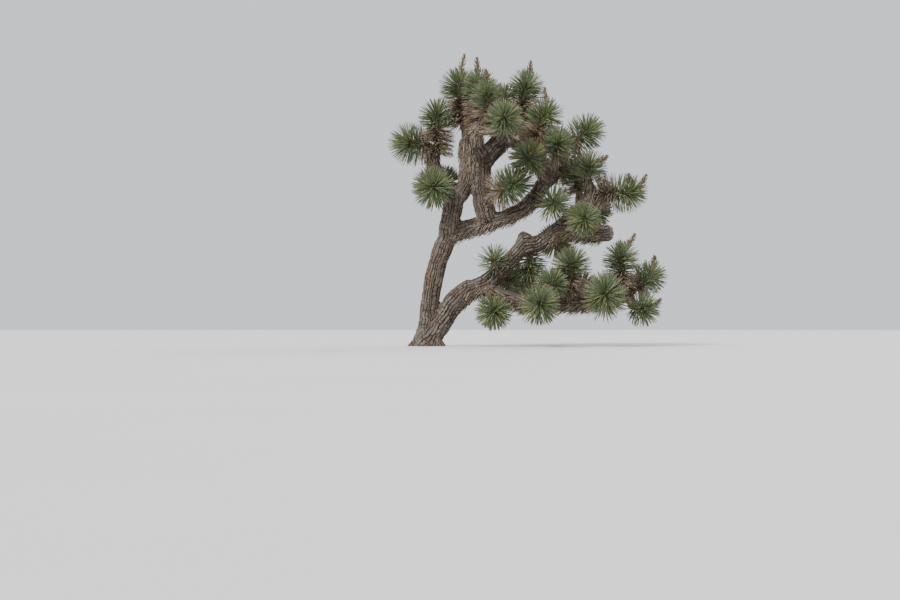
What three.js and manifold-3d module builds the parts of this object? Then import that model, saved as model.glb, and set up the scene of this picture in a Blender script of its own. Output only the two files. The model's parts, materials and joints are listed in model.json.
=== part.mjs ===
// A joshua tree: a leaning trunk and a second low stem from one foot, boughs that fork and turn upwards, and
// a round head of dagger leaves at the end of every stem, some with a dried flower spire.
// Millimetres, +Z up, with the origin in the middle of the flat cut under the trunk.
import * as THREE from 'three';
import { ConvexGeometry } from 'three/addons/geometries/ConvexGeometry.js';
import { mergeVertices } from 'three/addons/utils/BufferGeometryUtils.js';
import Module from 'manifold-3d';

const wasm = await Module();
wasm.setup();

// The bark.
const GAP = 0.3;                  // air left between two solids that meet
const TRUNK_SIDES = 15;
const LIMB_SIDES = 8;
const STEM_SIDES = 5;
const RING_STEP = 250;            // length of bark between two rings of a limb
const FLARE = 190;                // how far the root flare stands out at the ground
const FLARE_HEIGHT = 160;         // the flare sinks to about a third of itself over this height
const BUTTRESSES = 5;
const BUTTRESS_SHARE = 0.34;      // how deep the folds between buttresses are, as a share of the flare
const LUMP_SHARE = 0.035;         // how far a limb swells and shrinks along its length
const LUMP_LENGTH = 430;
const HANDLE_SHARE = 1 / 3;       // how stiffly a limb keeps to its first and last direction
// Steps past a limb's end, and its widths there, as shares of its radius: a dome, and a stem that runs on
// into its head.
const DOME = [[0.34, 0.88], [0.58, 0.55]];
const STEM_END = [[1.5, 0.9]];

// The heads of leaves.
const STEM_THICKNESS = 135;
const CORE_SHARE = 0.5;           // radius of the dense middle of a head, as a share of its reach
const CORE_FULLNESS = 2.5;        // 2 is an egg, more is a barrel
const CORNER_STEP = 12.2;         // rise along the stem from one corner of the core to the next
const GOLDEN_ANGLE = 137.508;     // degrees round the stem from one corner to the next
const SHORTEST_LEAF = 0.84;       // leaf lengths vary between this share of the reach and all of it
const LEAF_BODY_RADIUS = 22;      // what a leaf takes up round its middle line
const LEAF_CLEARANCE = 6;
const BARE_TILT = 130;            // degrees from the heading past which the stem leaves no room for leaves
const LOWEST_LEAF = 40;           // height of the lowest leaf tip over the ground
const LIMB_STRETCHES = 6;         // straight stretches that stand for a limb where leaves look for room
const STEM_STRETCHES = 3;

// The dried flower spires.
const SPIRE_RADIUS = 40;
const SPIRE_SIDES = 4;
const SPIRE_PRONGS = 3;
const PRONG_SIDES = 3;
const PRONG_LENGTH = 95;
const PRONG_RADIUS = 13;
const PRONG_TILT = 42;
const PRONG_SPAN = [0.48, 0.9];   // where the prongs stand, as shares of the spire's height
const PRONG_LOSS = 1.3;           // a prong's length falls from this many times its own as it stands higher

const WELD = 0.001;               // points nearer than this are one point

const BARK = { color: 0x6d6156, roughness: 0.95, metalness: 0 };
const LEAVES = { color: 0x6b7a58, roughness: 0.7, metalness: 0 };

// The limbs, in growing order. Each leaves its parent a share of the way along it, sets off in one direction
// and reaches its tip in another. Places and directions are right, back and up, and thick is the thickness at
// both ends.
const LIMBS = [
  { name: 'trunk', root: [0, 0, 0], tip: [306, 10, 1630], off: [0, 0, 1], heading: [0.46, 0.02, 0.89],
    thick: [238, 276] },

  { name: 'left_bough', from: 'trunk', at: 1, tip: [375, 20, 2150], off: [0.05, 0, 1],
    heading: [0.05, 0, 1], thick: [290, 285] },
  { name: 'left_outer_bough', from: 'left_bough', at: 1, tip: [75, 90, 2740], off: [-0.75, 0.05, 0.8],
    heading: [-0.02, 0.05, 1], thick: [230, 205] },
  { name: 'left_inner_bough', from: 'left_bough', at: 1, tip: [595, 90, 3010], off: [1, 0.05, 0.5],
    heading: [0, 0.03, 1], thick: [215, 270] },

  { name: 'right_bough', from: 'trunk', at: 1, tip: [1210, 50, 1930], off: [0.87, 0.05, 0.44],
    heading: [0.95, 0.05, 0.35], thick: [250, 196] },
  { name: 'right_bough_rise', from: 'right_bough', at: 1, tip: [1750, 150, 2500], off: [0.9, 0.1, 0.3],
    heading: [0.35, 0.1, 0.9], thick: [218, 205] },
  { name: 'right_back_bough', from: 'right_bough_rise', at: 0.8, tip: [1900, 620, 2640],
    off: [0.1, 1, 0.35], heading: [0, 0.5, 0.85], thick: [165, 150] },

  { name: 'middle_bough', from: 'right_bough', at: 0.65, tip: [826, 0, 2760], off: [-0.32, 0, 1],
    heading: [0.35, 0, 1], thick: [285, 280] },
  { name: 'middle_right_bough', from: 'middle_bough', at: 1, tip: [1260, 180, 3330], off: [0.7, 0.1, 0.75],
    heading: [0.35, 0.15, 0.9], thick: [320, 200] },
  { name: 'middle_back_bough', from: 'middle_bough', at: 0.95, tip: [1150, 600, 3210], off: [0.1, 1, 0.5],
    heading: [0.2, 0.5, 0.85], thick: [185, 165] },
  { name: 'middle_front_bough', from: 'middle_bough', at: 0.95, tip: [700, -600, 3090], off: [0, -1, 0.4],
    heading: [0.05, -0.55, 0.85], thick: [185, 165] },

  { name: 'low_stem', from: 'trunk', at: 0.06, tip: [630, -30, 835], off: [0.7, -0.02, 0.7],
    heading: [0.85, -0.02, 0.4], thick: [310, 305] },
  { name: 'low_bough', from: 'low_stem', at: 1, tip: [1390, -60, 1440], off: [1, -0.03, 0.2],
    heading: [0.75, 0, 0.66], thick: [262, 222], stub: { at: 0.92, tip: [1430, -75, 1605], thick: 185 } },
  { name: 'arching_bough', from: 'low_bough', at: 1, tip: [2030, -20, 1810], off: [1, 0, 0.14],
    heading: [0.7, 0, 0.66], thick: [226, 232] },
  { name: 'crest_bough', from: 'arching_bough', at: 1, tip: [2410, 0, 2260], off: [0.7, 0, 0.6],
    heading: [0.3, 0, 0.9], thick: [225, 185] },
  { name: 'broken_stub', from: 'arching_bough', at: 0.85, tip: [2655, -110, 1655], off: [0.9, -0.3, -0.25],
    heading: [1, 0, 0.05], thick: [240, 235] },
  { name: 'crest_back_bough', from: 'arching_bough', at: 0.8, tip: [2320, 560, 1950], off: [0.3, 1, 0.2],
    heading: [0.4, 0.6, 0.5], thick: [185, 165] },

  { name: 'ground_bough', from: 'low_bough', at: 0.2, tip: [1500, -170, 620], off: [0.6, -0.25, -0.7],
    heading: [1, -0.05, -0.02], thick: [230, 220] },
  { name: 'ground_bough_middle', from: 'ground_bough', at: 1, tip: [2400, -120, 640], off: [1, 0, 0.02],
    heading: [1, 0.1, 0.12], thick: [210, 190] },
  { name: 'ground_bough_end', from: 'ground_bough_middle', at: 1, tip: [2940, -10, 770], off: [1, 0.2, 0.1],
    heading: [0.95, 0.1, 0.3], thick: [190, 180] },
  { name: 'ground_back_bough', from: 'ground_bough', at: 0.9, tip: [1850, 560, 680], off: [0.2, 1, 0.05],
    heading: [0.5, 0.8, 0.2], thick: [175, 160] },
  { name: 'ground_front_bough', from: 'ground_bough', at: 0.75, tip: [1440, -680, 640], off: [0, -1, -0.05],
    heading: [0.2, -0.9, 0.15], thick: [165, 155] },
];

// The heads of leaves: where each one's stem leaves its limb, the middle of its rosette, the way it looks,
// how far its leaves reach from the stem, how much of the stem below the rosette is leafy, and the tips of
// its spires.
const HEADS = [
  { name: 'left_low_head', from: 'left_outer_bough', at: 1, middle: [-265, 150, 3005],
    aim: [-1, 0.05, 0.12], reach: 365, leafy: 260 },
  { name: 'left_top_head', from: 'left_outer_bough', at: 1, middle: [130, 100, 3400], aim: [0.02, 0, 1],
    reach: 305, leafy: 520 },
  { name: 'left_front_head', from: 'left_outer_bough', at: 0.3, middle: [90, -400, 2295],
    aim: [-0.2, -1, 0.05], reach: 355, leafy: 180 },
  { name: 'left_back_head', from: 'left_outer_bough', at: 0.35, middle: [230, 560, 2480],
    aim: [0.1, 0.8, 0.5], reach: 300, leafy: 180 },
  { name: 'top_left_head', from: 'left_inner_bough', at: 1, middle: [450, 260, 3870], aim: [-0.15, 0.1, 1],
    reach: 325, leafy: 530, spires: [[540, 300, 4385]] },
  { name: 'top_left_front_head', from: 'left_inner_bough', at: 1, middle: [745, -180, 3790],
    aim: [-0.02, -0.05, 1], reach: 300, leafy: 600, spires: [[715, -200, 4220]] },
  { name: 'top_front_head', from: 'middle_front_bough', at: 1, middle: [860, -720, 3560], aim: [0, -0.1, 1],
    reach: 290, leafy: 260, spires: [[830, -740, 3930]] },
  { name: 'middle_front_head', from: 'middle_front_bough', at: 1, middle: [1080, -1080, 3180],
    aim: [0.2, -0.8, 0.5], reach: 320, leafy: 180 },
  { name: 'middle_back_head', from: 'middle_back_bough', at: 1, middle: [1220, 1080, 3520],
    aim: [0, 0.6, 0.8], reach: 320, leafy: 220 },
  { name: 'middle_head', from: 'middle_right_bough', at: 0.75, middle: [1130, 400, 3700],
    aim: [-0.1, 0.2, 1], reach: 290, leafy: 260 },
  { name: 'top_right_head', from: 'middle_right_bough', at: 1, middle: [1455, 240, 3850], aim: [0.2, 0, 1],
    reach: 325, leafy: 500, spires: [[1535, 260, 4270]] },
  { name: 'top_far_head', from: 'middle_right_bough', at: 0.5, middle: [1700, -180, 3350],
    aim: [0.45, 0, 0.9], reach: 325, leafy: 380, spires: [[1710, -150, 3790]] },
  { name: 'right_near_head', from: 'right_bough_rise', at: 0.9, middle: [1450, -560, 2700],
    aim: [-0.5, -0.8, 0.4], reach: 325, leafy: 200 },
  { name: 'right_middle_head', from: 'right_bough_rise', at: 1, middle: [1875, -380, 2920],
    aim: [0.1, -0.5, 0.8], reach: 315, leafy: 180 },
  { name: 'right_back_head', from: 'right_back_bough', at: 1, middle: [1620, 850, 3200],
    aim: [-0.3, 0.2, 0.9], reach: 315, leafy: 240 },
  { name: 'right_far_back_head', from: 'right_back_bough', at: 1, middle: [2080, 1090, 2780],
    aim: [0.3, 0.9, 0.3], reach: 315, leafy: 190 },
  { name: 'right_top_head', from: 'right_bough_rise', at: 1, middle: [2360, 250, 3190], aim: [0.8, 0, 0.6],
    reach: 330, leafy: 320 },
  { name: 'crotch_head', from: 'middle_bough', at: 0.2, middle: [1240, -400, 2330], aim: [0.8, -0.5, 0.35],
    reach: 340, leafy: 300 },
  { name: 'nook_head', from: 'right_bough_rise', at: 0.4, middle: [1830, -340, 2065],
    aim: [0.45, -0.9, -0.1], reach: 320, leafy: 130 },
  { name: 'crest_head', from: 'crest_bough', at: 1, middle: [2365, -50, 2620], aim: [0.1, -0.05, 1],
    reach: 305, leafy: 160, spires: [[2640, -50, 2800]] },
  { name: 'crest_back_head', from: 'crest_back_bough', at: 1, middle: [2270, 760, 2620],
    aim: [-0.1, 0.1, 1], reach: 315, leafy: 260 },
  { name: 'under_arm_head', from: 'crest_back_bough', at: 1, middle: [2570, 800, 2040],
    aim: [0.8, 0.5, 0.2], reach: 290, leafy: 120 },
  { name: 'crest_front_head', from: 'crest_bough', at: 0.15, middle: [2240, -520, 1820],
    aim: [0.2, -1, -0.05], reach: 310, leafy: 170 },
  { name: 'arm_head', from: 'crest_bough', at: 0.9, middle: [2940, 0, 2250], aim: [1, 0, 0], reach: 322,
    leafy: 460, spires: [[3220, 0, 2530], [2960, 0, 2540]] },
  { name: 'low_shoot_head', from: 'low_bough', at: 0.35, middle: [965, -170, 1245], aim: [-0.25, -0.3, 0.9],
    reach: 300, leafy: 90 },
  { name: 'hanging_head', from: 'arching_bough', at: 0.15, middle: [1500, 110, 1130], aim: [0, 0.2, -1],
    reach: 300, leafy: 230 },
  { name: 'arch_back_head', from: 'arching_bough', at: 0.45, middle: [1930, 640, 1580], aim: [0.1, 1, 0.1],
    reach: 310, leafy: 170 },
  { name: 'foot_head', from: 'ground_bough', at: 0.35, middle: [950, -420, 500], aim: [-0.1, -0.8, -0.35],
    reach: 305, leafy: 130 },
  { name: 'ground_up_head', from: 'ground_bough_middle', at: 0.6, middle: [2080, -260, 1180],
    aim: [0, -0.1, 1], reach: 325, leafy: 340 },
  { name: 'low_back_head', from: 'low_bough', at: 0.35, middle: [1190, 370, 1000], aim: [0.2, 1, 0.2],
    reach: 310, leafy: 150 },
  { name: 'ground_middle_head', from: 'ground_bough_middle', at: 0.1, middle: [1780, -470, 880],
    aim: [0.1, -0.8, 0.5], reach: 300, leafy: 130 },
  { name: 'ground_front_head', from: 'ground_front_bough', at: 1, middle: [1570, -1100, 600],
    aim: [0.4, -0.9, 0.1], reach: 330, leafy: 160 },
  { name: 'ground_right_front_head', from: 'ground_bough_middle', at: 1, middle: [2530, -640, 745],
    aim: [0.05, -0.9, 0.4], reach: 375, leafy: 200 },
  { name: 'ground_back_head', from: 'ground_back_bough', at: 1, middle: [1480, 880, 800],
    aim: [-0.5, 0.7, 0.2], reach: 320, leafy: 160 },
  { name: 'ground_far_back_head', from: 'ground_back_bough', at: 1, middle: [2360, 1060, 870],
    aim: [0.4, 0.8, 0.35], reach: 325, leafy: 240 },
  { name: 'end_up_head', from: 'ground_bough_end', at: 0.7, middle: [2830, -90, 1280], aim: [0, -0.05, 1],
    reach: 305, leafy: 400, spires: [[3030, -100, 1650]] },
  { name: 'end_right_head', from: 'ground_bough_end', at: 1, middle: [3290, 200, 1020],
    aim: [0.75, 0.3, 0.55], reach: 290, leafy: 270, spires: [[3370, 220, 1340]] },
  { name: 'end_low_head', from: 'ground_bough_end', at: 1, middle: [3100, -330, 540],
    aim: [0.6, -0.7, -0.2], reach: 290, leafy: 130, spires: [[3370, -320, 690]] },
];

const vector = (place) => new THREE.Vector3(...place);
const direction = (place) => vector(place).normalize();
const radians = THREE.MathUtils.degToRad;

// A repeatable run of numbers between 0 and 1 for each head.
function dice(seed) {
  let state = seed * 2654435761;
  return () => {
    state = (state + 0x6d2b79f5) | 0;
    let mixed = Math.imul(state ^ (state >>> 15), 1 | state);
    mixed = (mixed + Math.imul(mixed ^ (mixed >>> 7), 61 | mixed)) ^ mixed;
    return ((mixed ^ (mixed >>> 14)) >>> 0) / 4294967296;
  };
}

function solidOf(geometry) {
  geometry.deleteAttribute('normal');
  geometry.deleteAttribute('uv');
  const merged = mergeVertices(geometry, WELD);
  return new wasm.Manifold(new wasm.Mesh({
    numProp: 3,
    vertProperties: new Float32Array(merged.attributes.position.array),
    triVerts: new Uint32Array(merged.index.array),
  }));
}

function geometryOf(solid) {
  const { vertProperties, triVerts } = solid.getMesh();
  const geometry = new THREE.BufferGeometry();
  geometry.setAttribute('position', new THREE.BufferAttribute(vertProperties, 3));
  geometry.setIndex(new THREE.BufferAttribute(triVerts, 1));
  return geometry;
}

// The largest piece of a cut solid: scraps that a cut frees are dropped.
function mainPiece(solid) {
  return solid.decompose().reduce((best, piece) => (piece.volume() > best.volume() ? piece : best));
}

// A named mesh of a solid, with the points that lie together made one.
function meshOf(solid, name, finish) {
  const geometry = geometryOf(mainPiece(solidOf(geometryOf(solid))));
  geometry.computeVertexNormals();
  const mesh = new THREE.Mesh(geometry, new THREE.MeshStandardMaterial(finish));
  mesh.name = name;
  return mesh;
}

function boxesMeet(one, other) {
  const a = one.boundingBox();
  const b = other.boundingBox();
  return [0, 1, 2].every((i) => a.min[i] < b.max[i] && b.min[i] < a.max[i]);
}

// A smooth line that leaves one place in one direction and reaches another place in another direction.
function bend(start, end, off, heading) {
  const handle = start.distanceTo(end) * HANDLE_SHARE;
  return new THREE.CubicBezierCurve3(
    start,
    start.clone().addScaledVector(off, handle),
    end.clone().addScaledVector(heading, -handle),
    end,
  );
}

// A closed round limb along a line, with a flat root and a domed tip, made from a cylinder whose rings are
// moved. radiusAt gives the radius at a share of the way along and at an angle round the limb.
function limbSolid({ line, radiusAt, sides, dome = DOME }, grow = 0) {
  const steps = Math.max(2, Math.round(line.getLength() / RING_STEP));
  const rows = steps + dome.length;
  const frames = line.computeFrenetFrames(steps, false);
  const geometry = new THREE.CylinderGeometry(1, 1, 1, sides, rows);
  const spots = geometry.attributes.position;
  const tipRadius = radiusAt(1, 0);
  for (let i = 0; i < spots.count; i += 1) {
    const row = Math.round((spots.getY(i) + 0.5) * rows);
    const step = Math.min(row, steps);
    const angle = Math.atan2(spots.getX(i), spots.getZ(i));
    const [past, width] = row > steps ? dome[row - steps - 1] : [0, 1];
    const radius = Math.hypot(spots.getX(i), spots.getZ(i)) * (radiusAt(step / steps, angle) * width + grow);
    const onward = past * tipRadius + (row === rows ? grow : 0) - (row === 0 ? grow : 0);
    const spot = line.getPointAt(step / steps)
      .addScaledVector(frames.tangents[step], onward)
      .addScaledVector(frames.normals[step], radius * Math.sin(angle))
      .addScaledVector(frames.binormals[step], -radius * Math.cos(angle));
    spots.setXYZ(i, spot.x, spot.y, spot.z);
  }
  return solidOf(geometry);
}

// The line, the radius and the capsules that stand for a limb where leaves look for room.
function growLimb(limb, grown) {
  const parent = limb.from && grown.get(limb.from);
  const root = parent ? parent.line.getPointAt(limb.at) : vector(limb.root);
  const line = bend(root, vector(limb.tip), direction(limb.off), direction(limb.heading));
  const length = line.getLength();
  const [first, last] = limb.thick.map((thickness) => thickness / 2);
  const radiusAt = (share, angle) => {
    const lump = 1 + LUMP_SHARE * Math.sin((share * length * 2 * Math.PI) / LUMP_LENGTH + first);
    const plain = THREE.MathUtils.lerp(first, last, share) * lump;
    if (parent) return plain;
    const fold = 1 - BUTTRESS_SHARE * (0.5 - 0.5 * Math.cos(BUTTRESSES * angle));
    return plain + FLARE * fold * Math.exp((-share * length) / FLARE_HEIGHT);
  };
  const sides = parent ? LIMB_SIDES : TRUNK_SIDES;
  const made = { name: limb.name, line, radiusAt, sides, stubs: [] };
  if (limb.stub) made.stubs.push(growStub(limb.stub, line));
  return made;
}

// A short healed stump that stands on a limb and is one with it.
function growStub({ at, tip, thick }, line) {
  const foot = line.getPointAt(at);
  const way = vector(tip).sub(foot).normalize();
  return { line: bend(foot, vector(tip), way, way), radiusAt: () => thick / 2, sides: LIMB_SIDES };
}

function wholeLimb(limb, grow = 0) {
  return wasm.Manifold.union([limb, ...limb.stubs].map((piece) => limbSolid(piece, grow)));
}

// A straight round piece that something takes up, for the leaves of others to keep clear of.
function capsule(owner, from, to, radius = 0) {
  return { owner, from, to, radius, length: from.distanceTo(to) };
}

function capsulesAlong(line, radiusAt, count, owner) {
  return Array.from({ length: count }, (_, i) => {
    const [start, end] = [i / count, (i + 1) / count];
    const radius = Math.max(radiusAt(start, 0), radiusAt(end, 0));
    return capsule(owner, line.getPointAt(start), line.getPointAt(end), radius);
  });
}

// How near two straight pieces come to each other.
function distanceBetween(a, b, c, d) {
  const u = b.clone().sub(a);
  const v = d.clone().sub(c);
  const w = a.clone().sub(c);
  const uu = u.dot(u);
  const uv = u.dot(v);
  const vv = v.dot(v);
  const uw = u.dot(w);
  const vw = v.dot(w);
  const spread = uu * vv - uv * uv;
  const clamp = (value) => THREE.MathUtils.clamp(value, 0, 1);
  let s = spread > 1e-6 ? clamp((uv * vw - vv * uw) / spread) : 0;
  const t = clamp((uv * s + vw) / vv);
  s = clamp((uv * t - uw) / uu);
  return a.clone().addScaledVector(u, s).distanceTo(c.clone().addScaledVector(v, t));
}

// A thin cone from one place to another.
function spike(from, to, radius, sides) {
  const length = from.distanceTo(to);
  const geometry = new THREE.ConeGeometry(radius, length, sides);
  geometry.translate(0, length / 2, 0);
  geometry.applyQuaternion(new THREE.Quaternion().setFromUnitVectors(
    new THREE.Vector3(0, 1, 0),
    to.clone().sub(from).normalize(),
  ));
  geometry.translate(from.x, from.y, from.z);
  return solidOf(geometry);
}

// The dense middle of a head, a closed shell whose corners climb the stem by the spiral rule.
function coreShell({ middle, aim, reach, leafy }, grow = 0) {
  const radius = reach * CORE_SHARE;
  const low = -Math.max(leafy, radius);
  const count = Math.round((radius - low) / CORNER_STEP);
  const corners = Array.from({ length: count }, (_, i) => {
    const share = (2 * i + 1) / count - 1;
    const out = (radius + grow) * Math.sqrt(1 - Math.abs(share) ** CORE_FULLNESS);
    const along = THREE.MathUtils.mapLinear(share, -1, 1, low - grow, radius + grow);
    const turn = radians(i * GOLDEN_ANGLE);
    return new THREE.Vector3(out * Math.cos(turn), along, out * Math.sin(turn));
  });
  const shell = new ConvexGeometry(corners);
  shell.applyQuaternion(new THREE.Quaternion().setFromUnitVectors(new THREE.Vector3(0, 1, 0), aim));
  return shell.translate(middle.x, middle.y, middle.z);
}

// The core with a leaf on each of its faces: a dagger whose root is the whole face and whose tip is the
// head's reach away from the stem. A leaf that would touch a limb or another head is left off.
function rosetteSolid(head, seed, isFree) {
  const roll = dice(seed);
  const shell = coreShell(head).attributes.position;
  const points = [];
  for (let i = 0; i < shell.count; i += 3) {
    const corners = [0, 1, 2].map((k) => new THREE.Vector3().fromBufferAttribute(shell, i + k));
    const root = corners[0].clone().add(corners[1]).add(corners[2]).divideScalar(3);
    const along = THREE.MathUtils.clamp(root.clone().sub(head.middle).dot(head.aim), -head.leafy, 0);
    const foot = head.middle.clone().addScaledVector(head.aim, along);
    const way = root.clone().sub(foot).normalize();
    const length = head.reach * THREE.MathUtils.lerp(SHORTEST_LEAF, 1, roll());
    const tip = foot.clone().addScaledVector(way, length);
    const fits = way.angleTo(head.aim) < radians(BARE_TILT) && tip.z > LOWEST_LEAF
      && isFree([root, ...corners], tip);
    const faces = fits ? [[0, 1, 3], [1, 2, 3], [2, 0, 3]] : [[0, 1, 2]];
    points.push(...faces.flat().map((k) => [...corners, tip][k]));
  }
  return solidOf(new THREE.BufferGeometry().setFromPoints(points));
}

// A flower spire from the middle of a head to its tip, with a few prongs round it where the flowers hung.
function spireSolid(head, tip) {
  const rise = tip.clone().sub(head.middle);
  const up = rise.clone().normalize();
  const side = new THREE.Vector3(0, 1, 0).cross(up).normalize();
  const across = side.clone().cross(up);
  const prongs = Array.from({ length: SPIRE_PRONGS }, (_, i) => {
    const share = THREE.MathUtils.lerp(...PRONG_SPAN, i / (SPIRE_PRONGS - 1));
    const from = head.middle.clone().addScaledVector(rise, share);
    const way = up.clone()
      .applyAxisAngle(across, radians(PRONG_TILT))
      .applyAxisAngle(up, radians(i * GOLDEN_ANGLE));
    const to = from.clone().addScaledVector(way, PRONG_LENGTH * (PRONG_LOSS - share));
    return spike(from, to, PRONG_RADIUS, PRONG_SIDES);
  });
  return wasm.Manifold.union([spike(head.middle, tip, SPIRE_RADIUS, SPIRE_SIDES), ...prongs]);
}

// The limbs: each is cut where an earlier one is, with air between them.
const tree = new THREE.Group();
const grown = new Map();
const taken = [];
const rooms = [];

function cutBy(solid, others) {
  return others.reduce((rest, room) => (boxesMeet(rest, room) ? rest.subtract(room) : rest), solid);
}

for (const limb of LIMBS) {
  const made = growLimb(limb, grown);
  grown.set(limb.name, made);
  taken.push(...capsulesAlong(made.line, made.radiusAt, LIMB_STRETCHES, made.name));
  tree.add(meshOf(cutBy(wholeLimb(made), rooms), made.name, BARK));
  rooms.push(wholeLimb(made, GAP));
}

// The heads: each keeps clear of the limbs and of the stems and cores of the heads before it.
const stemRadius = () => STEM_THICKNESS / 2;
const heads = HEADS.map((head) => {
  const middle = vector(head.middle);
  const aim = direction(head.aim);
  const root = grown.get(head.from).line.getPointAt(head.at);
  const foot = middle.clone().addScaledVector(aim, -head.leafy);
  const line = bend(root, foot, foot.clone().sub(root).normalize(), aim);
  const stem = { line, radiusAt: stemRadius, sides: STEM_SIDES, dome: STEM_END };
  return { ...head, middle, aim, foot, stem };
});
for (const head of heads) {
  taken.push(...capsulesAlong(head.stem.line, stemRadius, STEM_STRETCHES, head.name));
  taken.push(capsule(head.name, head.foot, head.middle, head.reach * CORE_SHARE));
}

function touches(edge, room) {
  const apart = edge.radius + room.radius + LEAF_CLEARANCE;
  return room.owner !== edge.owner && edge.from.distanceTo(room.from) < edge.length + room.length + apart
    && distanceBetween(edge.from, edge.to, room.from, room.to) < apart;
}

heads.forEach((head, number) => {
  const leaves = rosetteSolid(head, number + 1, (roots, tip) => {
    const edges = roots.map((root, k) => capsule(head.name, root, tip, k ? 0 : LEAF_BODY_RADIUS));
    const isFree = !edges.some((edge) => taken.some((room) => touches(edge, room)));
    if (isFree) taken.push(...edges);
    return isFree;
  });
  const solid = mainPiece(cutBy(limbSolid(head.stem).add(leaves), rooms));
  const spires = (head.spires ?? []).map((tip) => spireSolid(head, vector(tip)));
  tree.add(meshOf(wasm.Manifold.union([solid, ...spires]), head.name, LEAVES));
  rooms.push(limbSolid(head.stem, GAP).add(solidOf(coreShell(head, GAP))));
});

export default tree;
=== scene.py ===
import json
import math
from collections import namedtuple

import bmesh
import bpy
import numpy as np
from bpy.props import FloatProperty, FloatVectorProperty, IntProperty, PointerProperty
from mathutils import Matrix, Vector, noise
from mathutils.geometry import interpolate_bezier

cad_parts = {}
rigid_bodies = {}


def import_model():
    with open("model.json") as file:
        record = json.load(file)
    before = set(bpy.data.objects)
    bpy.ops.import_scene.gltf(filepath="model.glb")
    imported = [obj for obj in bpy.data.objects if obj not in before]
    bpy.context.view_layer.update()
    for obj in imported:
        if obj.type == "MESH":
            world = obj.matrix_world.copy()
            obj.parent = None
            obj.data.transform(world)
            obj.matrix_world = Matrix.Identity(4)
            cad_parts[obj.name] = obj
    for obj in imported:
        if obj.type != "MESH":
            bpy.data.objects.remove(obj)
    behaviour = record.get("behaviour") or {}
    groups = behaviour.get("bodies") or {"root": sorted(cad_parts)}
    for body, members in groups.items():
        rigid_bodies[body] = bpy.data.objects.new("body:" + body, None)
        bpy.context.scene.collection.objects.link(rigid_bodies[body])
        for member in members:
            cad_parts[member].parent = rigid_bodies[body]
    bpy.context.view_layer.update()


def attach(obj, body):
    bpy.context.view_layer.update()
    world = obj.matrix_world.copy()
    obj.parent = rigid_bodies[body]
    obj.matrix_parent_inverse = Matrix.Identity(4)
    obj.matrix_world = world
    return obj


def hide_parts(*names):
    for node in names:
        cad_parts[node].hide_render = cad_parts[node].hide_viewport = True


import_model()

bl_info = {
    "name": "Joshua Tree",
    "version": (1, 0, 0),
    "blender": (4, 5, 0),
    "location": "View3D > Sidebar > Joshua Tree",
    "description": "Grows a joshua tree: plated bark, heads of dagger leaves, dry leaves and flower spires",
    "category": "Add Mesh",
}

BODY = "root"
MM = 0.001
DOWN = np.array((0, 0, -1))

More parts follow.
